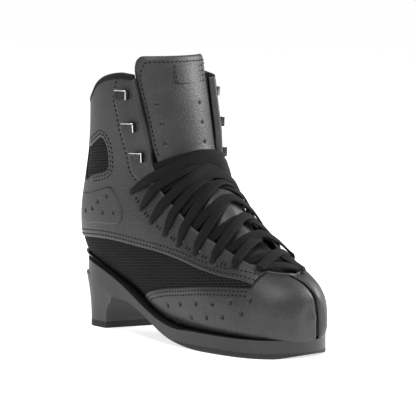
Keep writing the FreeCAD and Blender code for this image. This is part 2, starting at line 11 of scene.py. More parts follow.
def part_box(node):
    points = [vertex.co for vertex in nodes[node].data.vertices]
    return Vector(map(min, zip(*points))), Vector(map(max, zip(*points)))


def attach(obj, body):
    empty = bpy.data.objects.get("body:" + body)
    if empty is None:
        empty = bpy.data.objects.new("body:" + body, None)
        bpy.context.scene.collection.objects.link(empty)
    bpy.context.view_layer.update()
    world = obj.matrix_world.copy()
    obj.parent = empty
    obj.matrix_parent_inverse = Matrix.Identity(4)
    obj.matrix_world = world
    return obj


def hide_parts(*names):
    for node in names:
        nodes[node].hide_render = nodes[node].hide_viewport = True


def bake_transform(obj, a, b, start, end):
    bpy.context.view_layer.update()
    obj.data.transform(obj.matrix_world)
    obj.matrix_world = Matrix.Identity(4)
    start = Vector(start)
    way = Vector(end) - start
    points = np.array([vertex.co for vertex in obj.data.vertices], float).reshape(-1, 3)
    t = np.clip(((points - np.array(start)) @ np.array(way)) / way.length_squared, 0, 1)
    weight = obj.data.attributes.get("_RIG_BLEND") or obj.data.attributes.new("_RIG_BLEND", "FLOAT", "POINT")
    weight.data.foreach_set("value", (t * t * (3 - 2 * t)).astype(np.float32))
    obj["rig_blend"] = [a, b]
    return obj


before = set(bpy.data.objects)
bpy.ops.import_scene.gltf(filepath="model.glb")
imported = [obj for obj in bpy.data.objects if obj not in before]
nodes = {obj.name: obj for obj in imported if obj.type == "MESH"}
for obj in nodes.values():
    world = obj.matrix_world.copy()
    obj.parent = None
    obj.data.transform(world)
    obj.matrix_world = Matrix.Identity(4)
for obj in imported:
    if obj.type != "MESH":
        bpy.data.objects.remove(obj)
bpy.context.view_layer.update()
random.seed(7)

# A figure-skating boot.  Outlines are side views in millimetres: (run, z), where run is the distance
# forward from the back of the heel.  The outer (lateral) side is x < 0, the inner (medial) side x > 0.
MM = 0.001
LATERAL, MEDIAL = -1, 1
SIDES = {"lateral": LATERAL, "medial": MEDIAL}
HEEL_BACK_RUN = 5.0
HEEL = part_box("heel_top_lift")[1].y / MM + HEEL_BACK_RUN      # y of run 0
CELL = 0.85                           # size of a face on the leather
CLOTH_CELL = 1.0

# sections of the boot: top run, top z, bottom run, bottom z, half widths outer and inner, roundness of
# the top outer and inner, roundness of the bottom, height of the widest place
STATIONS = (
    (274, 41, 274, 25, 9, 8, 2.0, 2.0, 2.0, 0.50),
    (273, 50, 273, 14, 20, 15, 2.2, 2.2, 2.6, 0.55),
    (267, 58, 267, 12, 31, 23, 2.4, 2.4, 3.2, 0.60),
    (256, 66, 256, 12, 41, 31, 2.4, 2.4, 3.6, 0.62),
    (240, 75, 240, 12, 48, 37, 2.3, 2.3, 3.8, 0.64),
    (220, 88, 219, 12, 51, 40, 2.1, 2.1, 3.8, 0.66),
    (199, 100, 196, 12, 51, 41, 2.0, 2.1, 4.2, 0.66),
    (176, 117, 170, 12, 49, 42, 2.0, 2.3, 4.2, 0.64),
    (158, 133, 142, 13, 46, 42, 2.0, 2.6, 4.2, 0.60),
    (144, 144, 112, 22, 45, 42, 2.1, 3.0, 4.0, 0.57),
    (139, 153, 78, 38, 45, 42, 2.2, 3.4, 3.4, 0.54),
    (137, 165, 0, 64, 43, 42, 2.3, 4.2, 2.4, 0.50),
    (133, 172, -9, 90, 43, 43, 2.4, 4.6, 2.3, 0.48),
    (127, 183, -4, 125, 44, 45, 2.5, 5.0, 2.2, 0.46),
    (121, 201, 6, 162, 46, 46, 2.6, 5.0, 2.2, 0.45),
    (116, 222, 10, 198, 47, 47, 2.6, 5.0, 2.2, 0.45),
    (111, 254, 10, 238, 47, 48, 2.6, 5.0, 2.2, 0.45),
)
TOE_PULL = (1.0, 0.75, 0.5, 0.25, 0.1)     # how far an inset moves the toe's sections back
SMALLEST = 4.0                             # a section with less half width than this is left out
TIP_AHEAD = 1.3                            # the toe's tip ahead of its first section
REGION_MARGIN = 3.0                        # how far past a panel's outline its grid reaches
HOLE_DEEP = 1.5


# ---------------------------------------------------------------- the boot's form
def half_ring(width, top_power, bottom_power, waist, height, shares):
    """Across and down at shares of the way up one side of a section, from its bottom to its top."""
    turn = np.linspace(0, math.pi, 721)
    c, s = np.cos(turn), np.maximum(np.sin(turn), 0)
    power = np.where(c > 0, top_power, bottom_power)
    reach = np.where(c > 0, waist, 1 - waist)
    down = (waist - np.sign(c) * reach * np.abs(c) ** (2 / power)) * height
    across = width * s ** (2 / power)
    travel = np.concatenate([[0], np.cumsum(np.hypot(np.diff(across), np.diff(down)))])
    travel /= travel[-1]
    return np.interp(1 - shares, travel, across), np.interp(1 - shares, travel, down)


def station_rows(inset, shares):
    """Points of every section at shares 0 (bottom) - 1 (top) up the outer side and 1 - 2 down the inner."""
    rows = []
    outer_side = shares <= 1
    for i, station in enumerate(STATIONS):
        top_run, top_z, low_run, low_z, outer, inner, top_outer, top_inner, bottom, waist = station
        height = math.hypot(low_run - top_run, low_z - top_z)
        if min(outer, inner, height / 2) - inset < SMALLEST:
            continue
        run_dir, z_dir = (low_run - top_run) / height, (low_z - top_z) / height
        pull = TOE_PULL[i] if i < len(TOE_PULL) else 0.0
        deep = height - 2 * inset
        a1, d1 = half_ring(outer - inset, top_outer, bottom, waist, deep, np.where(outer_side, shares, 1))
        a2, d2 = half_ring(inner - inset, top_inner, bottom, waist, deep, np.where(outer_side, 1, 2 - shares))
        across, down = np.where(outer_side, -a1, a2), np.where(outer_side, d1, d2) + inset
        run, z = top_run - inset * pull + run_dir * down, top_z + z_dir * down
        rows.append(np.stack([across, HEEL - run, z], 1))
    middle = rows[0].mean(0) * np.array([0, 1, 1]) - np.array([0, TIP_AHEAD, 0])
    rows.insert(0, np.repeat(middle[None], len(shares), 0))
    return np.array(rows)


def smooth_rows(travel, rows, at):
    """Rows of points read at other places, on a natural cubic spline."""
    n, h = len(travel), np.diff(travel)
    a, b = np.zeros((n, n)), np.zeros_like(rows)
    a[0, 0] = a[-1, -1] = 1
    for i in range(1, n - 1):
        a[i, i - 1:i + 2] = h[i - 1], 2 * (h[i - 1] + h[i]), h[i]
        b[i] = 6 * ((rows[i + 1] - rows[i]) / h[i] - (rows[i] - rows[i - 1]) / h[i - 1])
    bend = np.linalg.solve(a, b.reshape(n, -1)).reshape(b.shape)
    k = np.clip(np.searchsorted(travel, at, side="right") - 1, 0, n - 2)
    step = h[k][:, None, None]
    u = ((at - travel[k])[:, None, None]) / step
    w = 1 - u
    curve = (bend[k] * (w ** 3 - w) + bend[k + 1] * (u ** 3 - u)) * step ** 2 / 6
    return rows[k] * w + rows[k + 1] * u + curve


travel_of = {}


def surface(inset, shares, places):
    """Grid of points (places, shares, 3) of the boot's form; place 0 is the toe's tip, 1 the top."""
    if inset not in travel_of:
        ring = station_rows(inset, np.linspace(0, 2, 97))
        steps = np.linalg.norm(np.diff(ring, axis=0), axis=2).mean(1)
        travel_of[inset] = np.concatenate([[0], np.cumsum(steps)]) / steps.sum()
    return smooth_rows(travel_of[inset], station_rows(inset, shares), np.asarray(places, float))


def grid_normals(points):
    """Unit normals of a grid of points, turned away from the middle of the boot."""
    normal = np.cross(np.gradient(points, axis=0), np.gradient(points, axis=1))
    length = np.linalg.norm(normal, axis=2, keepdims=True)
    normal = np.where(length > 1e-7, normal / np.maximum(length, 1e-9), np.array([0.0, -1.0, 0.0]))
    if (normal * points * np.array([1, 0.3, 0])).sum() < 0:
        normal = np.where(length > 1e-7, -normal, normal)
    return normal


def tree_of(inset):
    shares, places = np.linspace(0, 2, 161), np.linspace(0, 1, 241)
    points = surface(inset, shares, places)
    rows, columns = points.shape[:2]
    index = np.arange(rows * columns).reshape(rows, columns)
    quads = np.stack([index[:-1, :-1], index[:-1, 1:], index[1:, 1:], index[1:, :-1]], 2).reshape(-1, 4)
    return BVHTree.FromPolygons(points.reshape(-1, 3).tolist(), quads.tolist())


outer_tree = tree_of(0)


def outward(place, normal):
    middle = Vector((0, place.y * 0.6, 60))
    return normal if normal.dot(place - middle) > 0 else -normal


def on_side(side, run, z):
    """Point of the outer form seen from the side, and its outward normal."""
    start = Vector((0, HEEL - run, z))
    place, normal, _, _ = outer_tree.ray_cast(start + Vector((side * 90, 0, 0)), Vector((-side, 0, 0)))
    if place is None:
        place, normal, _, _ = outer_tree.find_nearest(start)
    return place, outward(place, normal)


def on_form(x, run, z):
    """Nearest point of the outer form, and its outward normal."""
    place, normal, _, _ = outer_tree.find_nearest(Vector((x, HEEL - run, z)))
    return place, outward(place, normal)


def from_above(x, run):
    """Point of the outer form seen from above, and its outward normal."""
    place, normal, _, _ = outer_tree.ray_cast(Vector((x, HEEL - run, 320)), Vector((0, 0, -1)))
    return place, outward(place, normal)


# ---------------------------------------------------------------- outlines
def smooth_line(points, step=3.0, closed=False):
    """A curve through the points, as short straight pieces."""
    p = np.asarray(points, float)
    count = len(p)
    spans = count if closed else count - 1
    out = []
    for i in range(spans):
        b, c = p[i], p[(i + 1) % count]
        a = p[i - 1] if closed or i > 0 else 2 * b - c
        d = p[(i + 2) % count] if closed or i + 2 < count else 2 * c - b
        pieces = max(1, int(round(np.linalg.norm(c - b) / step)))
        for k in range(pieces):
            t = k / pieces
            out.append(0.5 * (2 * b + (c - a) * t + (2 * a - 5 * b + 4 * c - d) * t * t
                              + (3 * b - a - 3 * c + d) * t ** 3))
    if not closed:
        out.append(p[-1])
    return np.array(out)


def signed(flat, outline):
    """Side-view distance from points (run, z) to a closed outline, negative inside it."""
    a = np.asarray(outline, float)
    run, z = flat[:, 0], flat[:, 1]
    best = np.full(len(flat), 1e9)
    inside = np.zeros(len(flat), bool)
    for (ar, az), (br, bz) in zip(a, np.roll(a, -1, 0)):
        er, ez = br - ar, bz - az
        length = er * er + ez * ez
        if length < 1e-12:
            continue
        t = np.clip(((run - ar) * er + (z - az) * ez) / length, 0, 1)
        best = np.minimum(best, (run - ar - t * er) ** 2 + (z - az - t * ez) ** 2)
        if ez:
            inside ^= ((az > z) != (bz > z)) & (run < ar + (z - az) * er / ez)
    return np.where(inside, -1, 1) * np.sqrt(best)


COLLAR = [(-30, 202), (-8, 202), (8, 203.5), (22, 207), (36, 214.5), (46, 223), (59, 229), (77, 232),
          (90, 231), (105, 229), (140, 228)]
OUTER_EDGE = [(90, 262), (91, 240), (93, 227), (97.5, 210), (103, 188), (106.5, 168), (108, 155),
              (112.5, 145), (119.5, 134), (131, 123), (144, 113), (159, 103), (176, 95.5), (195, 88),
              (216, 80), (236, 73), (256, 67.5)]
INNER_EDGE = [(96, 262), (99, 242), (103, 226), (111, 195), (117, 170), (120, 155), (124, 143),
              (131, 132), (140, 121.5), (151, 111), (164, 102), (180, 94.5), (197, 87.5), (216, 80),
              (236, 73), (256, 67.5)]
MESH_UPPER = [(-30, 79), (7, 81), (45, 83.5), (76, 83), (115, 80), (134, 78), (160, 74), (183, 69.5),
              (208, 66), (227, 64.5), (240, 61.5)]
MESH_LOWER = [(240, 59), (217, 58), (187, 55.5), (162, 52), (134, 48), (113, 42.5), (99, 35)]
ANKLE_WINDOW = [(19, 160), (32, 165), (44, 170.5), (52, 174), (58, 170), (60.5, 163), (61, 152),
                (59, 146), (52, 143), (36, 139.5), (19, 135)]
HEEL_PATCH = [(16, 96), (45, 96.5), (68, 97.5), (76, 100), (79.5, 107), (76, 116), (68.5, 127),
              (61.5, 131), (49.5, 128), (32, 124), (16, 120)]
STAY_LINE = [(84, 250), (79, 229), (75, 216), (74, 207.6), (77.7, 195), (80, 181), (85.7, 161.5),
             (89, 147), (97, 139), (104, 136)]
SKIN_FLOOR = [(-30, 61), (3, 60), (21, 57), (35, 53), (51, 45), (67, 37), (89, 22), (104, 15),
              (137, 10), (290, 10)]
FOOT_LINE = [(-30, 88), (0, 85), (20, 81), (42, 74), (78, 60), (112, 45), (142, 37), (170, 36),
             (240, 36), (290, 37)]
GROOVE = [(20, 5.5), (31, 5.0), (40, 4.0), (47, 3.0), (52, 2.2), (57, 1.2), (61.5, -0.5), (65, -3.5),
          (68, -7.0), (72, -9.0)]

above_collar = np.vstack([smooth_line(COLLAR), [(400, 228), (400, 500), (-200, 500), (-200, 202)]])
BINDING_DEEP = 4.6                                           # height of the dark binding along the collar
under_binding = above_collar - np.array([0.0, BINDING_DEEP])
mesh_area = np.vstack([smooth_line(MESH_UPPER), smooth_line(MESH_LOWER),
                       [(104, -30), (-60, -30), (-60, 79)]])
vamp_area = np.vstack([smooth_line(MESH_LOWER),
                       [(104, -30), (330, -30), (330, 120), (247, 120), (240, 61.5)]])
ankle_area = smooth_line(ANKLE_WINDOW, closed=True)
patch_area = smooth_line(HEEL_PATCH, closed=True)
edge_lines = {LATERAL: smooth_line(OUTER_EDGE), MEDIAL: smooth_line(INNER_EDGE)}
openings = {side: np.vstack([line, [(300, 67.5), (300, 262)]]) for side, line in edge_lines.items()}
stay_area = np.vstack([smooth_line(STAY_LINE), [(160, 136), (160, 262), (84, 262)]])
below_floor = np.vstack([smooth_line(SKIN_FLOOR), [(290, -100), (-30, -100)]])
under_foot = np.vstack([smooth_line(FOOT_LINE), [(290, -100), (-30, -100)]])


def side_view(points):
    return np.stack([HEEL - points[:, 1], points[:, 2]], 1)


def outside(points, *areas):
    """How far points are outside all the areas, as a region value: negative there."""
    flat = side_view(points)
    return np.max([-signed(flat, area) for area in areas], 0)


def opening_value(points):
    """Distance to the lacing opening, negative inside it, on both sides of the boot."""
    flat = side_view(points)
    return np.where(points[:, 0] < 0, signed(flat, openings[LATERAL]), signed(flat, openings[MEDIAL]))


def groove_x(z):
    heights, middles = zip(*GROOVE)
    return np.interp(z, heights, middles)


# ---------------------------------------------------------------- meshes
def make_object(name, bm, material, body):
    for face in bm.faces:
        face.smooth = True
    mesh = bpy.data.meshes.new(name)
    bm.to_mesh(mesh)
    bm.free()
    mesh.materials.append(material)
    obj = bpy.data.objects.new(name, mesh)
    bpy.context.scene.collection.objects.link(obj)
    if body:
        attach(obj, body)
    return obj


def add_uv(obj):
    """The piece's own UV map, read from its point attribute of lengths in metres."""
    mesh = obj.data
    values = np.zeros(len(mesh.vertices) * 3, np.float32)
    mesh.attributes["metres"].data.foreach_get("vector", values)
    corner = np.zeros(len(mesh.loops), np.int32)
    mesh.loops.foreach_get("vertex_index", corner)
    flat = values.reshape(-1, 3)[corner][:, :2]
    layer = mesh.uv_layers.new(name="UVMap")
    layer.data.foreach_set("uv", flat.astype(np.float32).ravel())


def mapped_grid(points, cloth=None):
    """A bmesh grid whose vertices are moved to an array of points (rows, columns, 3) in mm."""
    rows, columns = points.shape[:2]
    bm = bmesh.new()
    bmesh.ops.create_grid(bm, x_segments=columns - 1, y_segments=rows - 1, size=1)
    metres = bm.verts.layers.float_vector.new("metres")
    bm.verts.ensure_lookup_table()
    for vertex in bm.verts:
        column = round((vertex.co.x + 1) / 2 * (columns - 1))
        row = round((vertex.co.y + 1) / 2 * (rows - 1))
        vertex.co = points[row, column] * MM
        if cloth is not None:
            vertex[metres] = (cloth[row, column, 0] * MM, cloth[row, column, 1] * MM, 0)
    return bm


def cloth_lengths(points):
    """Lengths in mm across and along a grid of points, for patterns that follow the surface."""
    across = np.linalg.norm(np.diff(points, axis=1), axis=2)
    along = np.linalg.norm(np.diff(points, axis=0), axis=2)
    u = np.concatenate([np.zeros((points.shape[0], 1)), np.cumsum(across, 1)], 1)
    v = np.concatenate([np.zeros((1, points.shape[1])), np.cumsum(along, 0)], 0)
    return np.stack([v, u - u[:, -1:] / 2], 2)


def cut_away(bm, values):
    """Removes what has a value above 0, along a clean line."""
    layer = bm.verts.layers.float.new("cut")
    for vertex, value in zip(bm.verts, values):
        vertex[layer] = 0.0 if abs(value) < 0.02 else value
    crossing = [e for e in bm.edges if e.verts[0][layer] * e.verts[1][layer] < 0]
    on_line = [v for v in bm.verts if v[layer] == 0.0]
    for edge in crossing:
        first, last = edge.verts
        share = first[layer] / (first[layer] - last[layer])
        _, vertex = bmesh.utils.edge_split(edge, first, share)
        vertex[layer] = 0.0
        on_line.append(vertex)
    bmesh.ops.connect_verts(bm, verts=on_line)
    bmesh.ops.delete(bm, geom=[v for v in bm.verts if v[layer] > 0], context="VERTS")
    loose = [v for v in bm.verts if not v.link_faces]
    bmesh.ops.delete(bm, geom=loose, context="VERTS")
    flat = [f for f in bm.faces if all(v[layer] == 0.0 for v in f.verts) and f.calc_area() < 1e-9]
    bmesh.ops.delete(bm, geom=flat, context="FACES")


def add_wall(obj, thick):
    wall = obj.modifiers.new("wall", "SOLIDIFY")
    wall.thickness = thick * MM
    wall.offset = -1


def side_pattern(points):
    """Pattern lengths seen from the side, for rows of knit that run level."""
    return np.stack([HEEL - points[:, :, 1], points[:, :, 2]], 2)


def punched(points, holes):
    """Depth in mm and painted shade at points (..., 3) of punched holes, each a centre and a radius."""
    away = np.full(points.shape[:-1], 9.0)
    for centre, radius in holes:
        away = np.minimum(away, np.linalg.norm(points - np.array(centre), axis=-1) / radius)
    return HOLE_DEEP * np.clip((1.15 - away) / 0.45, 0, 1), np.clip((1.1 - away) / 0.25, 0, 1)


def skin(name, region, lift, material, body, inset=0.0, cell=CELL, thick=1.2, inside=False,
         holes=(), pattern=cloth_lengths):
    """A panel cut from the boot's form.  region gives a value below 0 where the panel is, lift gives
    how far its surface stands out of the form, in mm."""
    shares, places = np.linspace(0, 2, 121), np.linspace(0, 1, 161)
    coarse = surface(inset, shares, places)
    wanted = region(coarse.reshape(-1, 3)).reshape(coarse.shape[:2]) < REGION_MARGIN
    rows, columns = np.where(wanted.any(1))[0], np.where(wanted.any(0))[0]
    r0, r1 = max(rows[0] - 1, 0), min(rows[-1] + 1, len(places) - 1)
    c0, c1 = max(columns[0] - 1, 0), min(columns[-1] + 1, len(shares) - 1)
    part = coarse[r0:r1 + 1, c0:c1 + 1]
    along = np.linalg.norm(np.diff(part, axis=0), axis=2).sum(0).max()
    across = np.linalg.norm(np.diff(part, axis=1), axis=2).sum(1).max()
    points = surface(inset, np.linspace(shares[c0], shares[c1], int(across / cell) + 2),
                     np.linspace(places[r0], places[r1], int(along / cell) + 2))
    bm = mapped_grid(points, pattern(points))
    out = bm.verts.layers.float_vector.new("out")
    for vertex, normal in zip(bm.verts, grid_normals(points).reshape(-1, 3)):
        vertex[out] = normal
    cut_away(bm, region(np.array([v.co for v in bm.verts]) / MM))
    if c0 == 0 and c1 == len(shares) - 1 or r0 == 0:
        bmesh.ops.remove_doubles(bm, verts=bm.verts, dist=1e-6)
    positions = np.array([v.co for v in bm.verts]) / MM
    # punched holes are sunk in and given painted shade
    dent, shade = punched(positions, holes)
    rise = lift(positions, np.maximum(-region(positions), 0)) - dent
    hole_shade_layer = bm.verts.layers.float.new("hole")
    for vertex, height, dark in zip(bm.verts, rise, shade):
        vertex.co += Vector(vertex[out]).normalized() * (height * MM)
        vertex[hole_shade_layer] = dark
    bm.normal_update()
    faces_out = sum(1 if Vector(f.verts[0][out]).dot(f.normal) > 0 else -1 for f in list(bm.faces)[::40])
    if (faces_out < 0) != inside:
        bmesh.ops.reverse_faces(bm, faces=bm.faces)
    bm.verts.layers.float.remove(bm.verts.layers.float["cut"])
    obj = make_object(name, bm, material, body)
    add_uv(obj)
    add_wall(obj, thick)
    return obj


def rolled(depth, radius, height):
    """Height of a turned-over edge: 0 at the panel's edge, full height a radius inside it."""
    part = np.clip(depth / radius, 0, 1)
    return height * np.sqrt(1 - (1 - part) ** 2)


def travel_along(points):
    """Distance along a line of points, at each of them."""
    return np.concatenate([[0], np.cumsum(np.linalg.norm(np.diff(points, axis=0), axis=1))])


def tube(name, rings, material, body, widths=None):
    """A closed skin through rings of points (count, points, 3) in mm."""
    closed = np.concatenate([rings, rings[:, :1]], 1)
    lengths = travel_along(rings.mean(1))
    around = np.cos(np.linspace(0, 2 * math.pi, closed.shape[1]))
    if widths is None:
        widths = np.ones(len(rings))
    cloth = np.stack([np.repeat(lengths[:, None], closed.shape[1], 1), widths[:, None] * around[None]], 2)
    bm = mapped_grid(closed, cloth)
    bmesh.ops.remove_doubles(bm, verts=bm.verts, dist=1e-6)
    bmesh.ops.holes_fill(bm, edges=[e for e in bm.edges if e.is_boundary], sides=0)
    bmesh.ops.recalc_face_normals(bm, faces=bm.faces)
    obj = make_object(name, bm, material, body)
    add_uv(obj)
    return obj


def frames_along(points, ups):
    """Side and up directions along a path."""
    tangent = np.gradient(points, axis=0)
    tangent /= np.linalg.norm(tangent, axis=1, keepdims=True)
    up = ups - (ups * tangent).sum(1, keepdims=True) * tangent
    up /= np.linalg.norm(up, axis=1, keepdims=True)
    return np.cross(tangent, up), up


def ribbon(points, ups, widths, thicks, power=2.6, around=20):
    """Rings of a flat band with round edges along a path."""
    sideways, up = frames_along(points, ups)
    turn = np.linspace(0, 2 * math.pi, around, endpoint=False)
    c, s = np.cos(turn), np.sin(turn)
    x = np.sign(c) * np.abs(c) ** (2 / power)
    y = np.sign(s) * np.abs(s) ** (2 / power)
    return (points[:, None] + sideways[:, None] * (x[None, :, None] * widths[:, None, None] / 2)
            + up[:, None] * (y[None, :, None] * thicks[:, None, None] / 2))


# ---------------------------------------------------------------- stitches
class Seams:
    """Rows of stitches gathered in one mesh."""

    def __init__(self):
        self.bm = bmesh.new()

    def row(self, places, ups, pitch=4.1, length=2.9, radius=0.62, lift=0.15):
        points, ups = np.asarray(places, float), np.asarray(ups, float)
        travel = travel_along(points)
        count = int(travel[-1] / pitch)
        for i in range(count):
            middle = (i + 0.5) * travel[-1] / count
            a, b = [np.array([np.interp(middle + d, travel, points[:, k]) for k in range(3)])
                    for d in (-length / 2, length / 2)]
            up = Vector([np.interp(middle, travel, ups[:, k]) for k in range(3)]).normalized()
            along = Vector(b - a).normalized()
            across = up.cross(along).normalized()
            up = along.cross(across)
            centre = Vector((a + b) / 2) + up * lift
            turn = Matrix((along, across, up)).transposed().to_4x4()
            size = Matrix.Diagonal((length / 2 * MM, radius * MM, radius * 0.8 * MM, 1))
            bmesh.ops.create_uvsphere(self.bm, u_segments=6, v_segments=4, radius=1,
                                      matrix=Matrix.Translation(centre * MM) @ turn @ size)

    def object(self, name, material, body):
        return make_object(name, self.bm, material, body)


def offset_line(line, distance):
    """A side-view line moved sideways by distance, to the left of its direction."""
    tangent = np.gradient(line, axis=0)
    tangent /= np.maximum(np.linalg.norm(tangent, axis=1, keepdims=True), 1e-9)
    return line + np.stack([-tangent[:, 1], tangent[:, 0]], 1) * distance


def seat_line(line, side, lift):
    """Side-view points put on the outer form, with their normals, lifted by some mm."""
    found = [on_side(side, run, z) for run, z in line]
    ups = np.array([n for _, n in found])
    return np.array([p for p, _ in found]) + ups * lift, ups


# ---------------------------------------------------------------- materials
def new_material(name, colour, roughness):
    material = bpy.data.materials.new(name)
    material.use_nodes = True
    tree = material.node_tree
    bsdf = tree.nodes["Principled BSDF"]
    bsdf.inputs["Base Color"].default_value = (*colour, 1)
    bsdf.inputs["Roughness"].default_value = roughness
    return material, tree, bsdf


def add_node(tree, kind, **values):
    node = tree.nodes.new(kind)
    for key, value in values.items():
        if key in node.inputs:
            node.inputs[key].default_value = value
        else:
            setattr(node, key, value)
    return node


def ramp(tree, source, low, high, dark, light):
    """A colour from a value: dark at low, light at high."""
    node = add_node(tree, "ShaderNodeValToRGB")
    node.color_ramp.elements[0].position = low
    node.color_ramp.elements[1].position = high
    node.color_ramp.elements[0].color = (*dark, 1)
    node.color_ramp.elements[1].color = (*light, 1)
    tree.links.new(source, node.inputs["Fac"])
    return node.outputs["Color"]


def bump(tree, source, strength, distance, under=None):
    node = add_node(tree, "ShaderNodeBump", Strength=strength, Distance=distance)
    tree.links.new(source, node.inputs["Height"])
    if under is not None:
        tree.links.new(under, node.inputs["Normal"])
    return node.outputs["Normal"]


def object_noise(tree, scale, detail=3.0):
    """Noise fixed to the object."""
    node = add_node(tree, "ShaderNodeTexNoise", Scale=scale, Detail=detail)
    tree.links.new(add_node(tree, "ShaderNodeTexCoord").outputs["Object"], node.inputs["Vector"])
    return node.outputs["Fac"]


def mix(tree, first, second, kind="MULTIPLY", share=1.0):
    """Two colours mixed; each colour and the share may be a socket or a value."""
    node = add_node(tree, "ShaderNodeMix", data_type="RGBA", blend_type=kind)
    for place, value in ((0, share), (6, first), (7, second)):
        if isinstance(value, bpy.types.NodeSocket):
            tree.links.new(value, node.inputs[place])
        else:
            node.inputs[place].default_value = value
    return node.outputs[2]


def calc(tree, operation, *values):
    """A sum on sockets and numbers."""
    node = add_node(tree, "ShaderNodeMath", operation=operation)
    for socket, value in zip(node.inputs, values):
        if isinstance(value, bpy.types.NodeSocket):
            tree.links.new(value, socket)
        else:
            socket.default_value = value
    return node.outputs[0]


def set_shine(tree, bsdf, source, rough):
    shine = add_node(tree, "ShaderNodeMapRange")
    shine.inputs["To Min"].default_value, shine.inputs["To Max"].default_value = rough
    tree.links.new(source, shine.inputs["Value"])
    tree.links.new(shine.outputs["Result"], bsdf.inputs["Roughness"])


def matt(bsdf, sheen, sheen_roughness):
    bsdf.inputs["Specular IOR Level"].default_value = 0.2
    bsdf.inputs["Sheen Weight"].default_value = sheen
    bsdf.inputs["Sheen Roughness"].default_value = sheen_roughness


def leather(name, dark, light, grain=650.0, strength=0.6, rough=(0.40, 0.56)):
    """Fine-grained leather: pebbles, slow changes of colour and shine, punched holes painted near black as
    painted shade.
    """
    material, tree, bsdf = new_material(name, light, 0.5)
    pebble = add_node(tree, "ShaderNodeTexVoronoi", Scale=grain, feature="SMOOTH_F1")
    tree.links.new(add_node(tree, "ShaderNodeTexCoord").outputs["Object"], pebble.inputs["Vector"])
    fine, slow = object_noise(tree, grain * 1.7), object_noise(tree, 38.0, 4.0)
    speck = ramp(tree, fine, 0.35, 0.7, (0.55, 0.55, 0.55), (1.5, 1.5, 1.5))
    hole = add_node(tree, "ShaderNodeAttribute", attribute_name="hole").outputs["Fac"]
    colour = mix(tree, ramp(tree, slow, 0.3, 0.7, dark, light), speck)
    # punched holes painted near black: painted shade inside the holes
    colour = mix(tree, colour, (0.002, 0.002, 0.002, 1), "MIX", hole)
    tree.links.new(colour, bsdf.inputs["Base Color"])
    set_shine(tree, bsdf, slow, rough)
    first = bump(tree, pebble.outputs["Distance"], strength, 0.00035)
    tree.links.new(bump(tree, fine, strength * 0.6, 0.0002, first), bsdf.inputs["Normal"])
    return material


def knit(name, hole, thread, width=4.2, height=2.6):
    """Ribbed knit mesh with rows of oval holes, on the piece's own UV map in metres."""
    material, tree, bsdf = new_material(name, thread, 0.85)
    bsdf.inputs["Specular IOR Level"].default_value = 0.2
    scale = add_node(tree, "ShaderNodeMapping")
    scale.inputs["Scale"].default_value = (1000, 1000, 1000)
    scale.inputs["Rotation"].default_value = (0, 0, math.radians(-6))
    tree.links.new(add_node(tree, "ShaderNodeTexCoord").outputs["UV"], scale.inputs["Vector"])
    bricks = add_node(tree, "ShaderNodeTexBrick", offset=0.5)
    for key, value in (("Scale", 1.0), ("Brick Width", width), ("Row Height", height),
                       ("Mortar Size", 0.75), ("Mortar Smooth", 0.8)):
        bricks.inputs[key].default_value = value
    fibre = add_node(tree, "ShaderNodeTexNoise", Scale=1.4, Detail=3.0)
    for node in (bricks, fibre):
        tree.links.new(scale.outputs["Vector"], node.inputs["Vector"])
    colour = ramp(tree, bricks.outputs["Fac"], 0.15, 0.75, hole, thread)
    tone = ramp(tree, fibre.outputs["Fac"], 0.3, 0.7, (0.6, 0.6, 0.6), (1.3, 1.3, 1.3))
    tree.links.new(mix(tree, colour, tone), bsdf.inputs["Base Color"])
    tree.links.new(bump(tree, bricks.outputs["Fac"], 0.9, 0.0006), bsdf.inputs["Normal"])
    return material


def braid(name, dark, light, strand_pitch=0.0016, weft_pitch=0.0013):
    """Flat braided cord: slanting strands that meet along the middle, on the piece's own UV map."""
    material, tree, bsdf = new_material(name, light, 0.8)
    uv = add_node(tree, "ShaderNodeSeparateXYZ")
    tree.links.new(add_node(tree, "ShaderNodeTexCoord").outputs["UV"], uv.inputs[0])
    along, across = uv.outputs["X"], uv.outputs["Y"]
    slant = calc(tree, "ADD", along, calc(tree, "ABSOLUTE", across))
    wave = calc(tree, "SINE", calc(tree, "MULTIPLY", slant, 2 * math.pi / strand_pitch))
    weft = calc(tree, "SINE", calc(tree, "MULTIPLY", across, 2 * math.pi / weft_pitch))
    both = calc(tree, "MULTIPLY_ADD", weft, 0.5, wave)
    fuzzy = calc(tree, "ADD", both, object_noise(tree, 900.0, 2.0))
    tree.links.new(ramp(tree, fuzzy, 0.0, 1.0, dark, light), bsdf.inputs["Base Color"])
    tree.links.new(bump(tree, fuzzy, 0.5, 0.0003), bsdf.inputs["Normal"])
    matt(bsdf, 0.03, 0.5)
    return material


def cloth(name, dark, light, scale=1100.0, strength=0.5):
    """Close textile: crossing threads and a soft nap."""
    material, tree, bsdf = new_material(name, light, 0.9)
    threads = add_node(tree, "ShaderNodeTexWave", Scale=scale * 0.35, Distortion=1.5, bands_direction="Z")
    tree.links.new(add_node(tree, "ShaderNodeTexCoord").outputs["Object"], threads.inputs["Vector"])
    woven = calc(tree, "ADD", object_noise(tree, scale), threads.outputs["Fac"])
    tree.links.new(ramp(tree, object_noise(tree, 60.0), 0.3, 0.7, dark, light), bsdf.inputs["Base Color"])
    tree.links.new(bump(tree, woven, strength, 0.0003), bsdf.inputs["Normal"])
    matt(bsdf, 0.04, 0.6)
    return material


def moulded(name, dark, light, rough=(0.38, 0.55), scale=420.0, strength=0.18):
    """Moulded plastic or rubber: a spark-eroded surface with faint scuffs."""
    material, tree, bsdf = new_material(name, light, 0.5)
    grain, slow = object_noise(tree, scale, 4.0), object_noise(tree, 25.0, 5.0)
    tree.links.new(ramp(tree, slow, 0.3, 0.75, dark, light), bsdf.inputs["Base Color"])
    set_shine(tree, bsdf, grain, rough)
    tree.links.new(bump(tree, grain, strength, 0.0003), bsdf.inputs["Normal"])
    return material


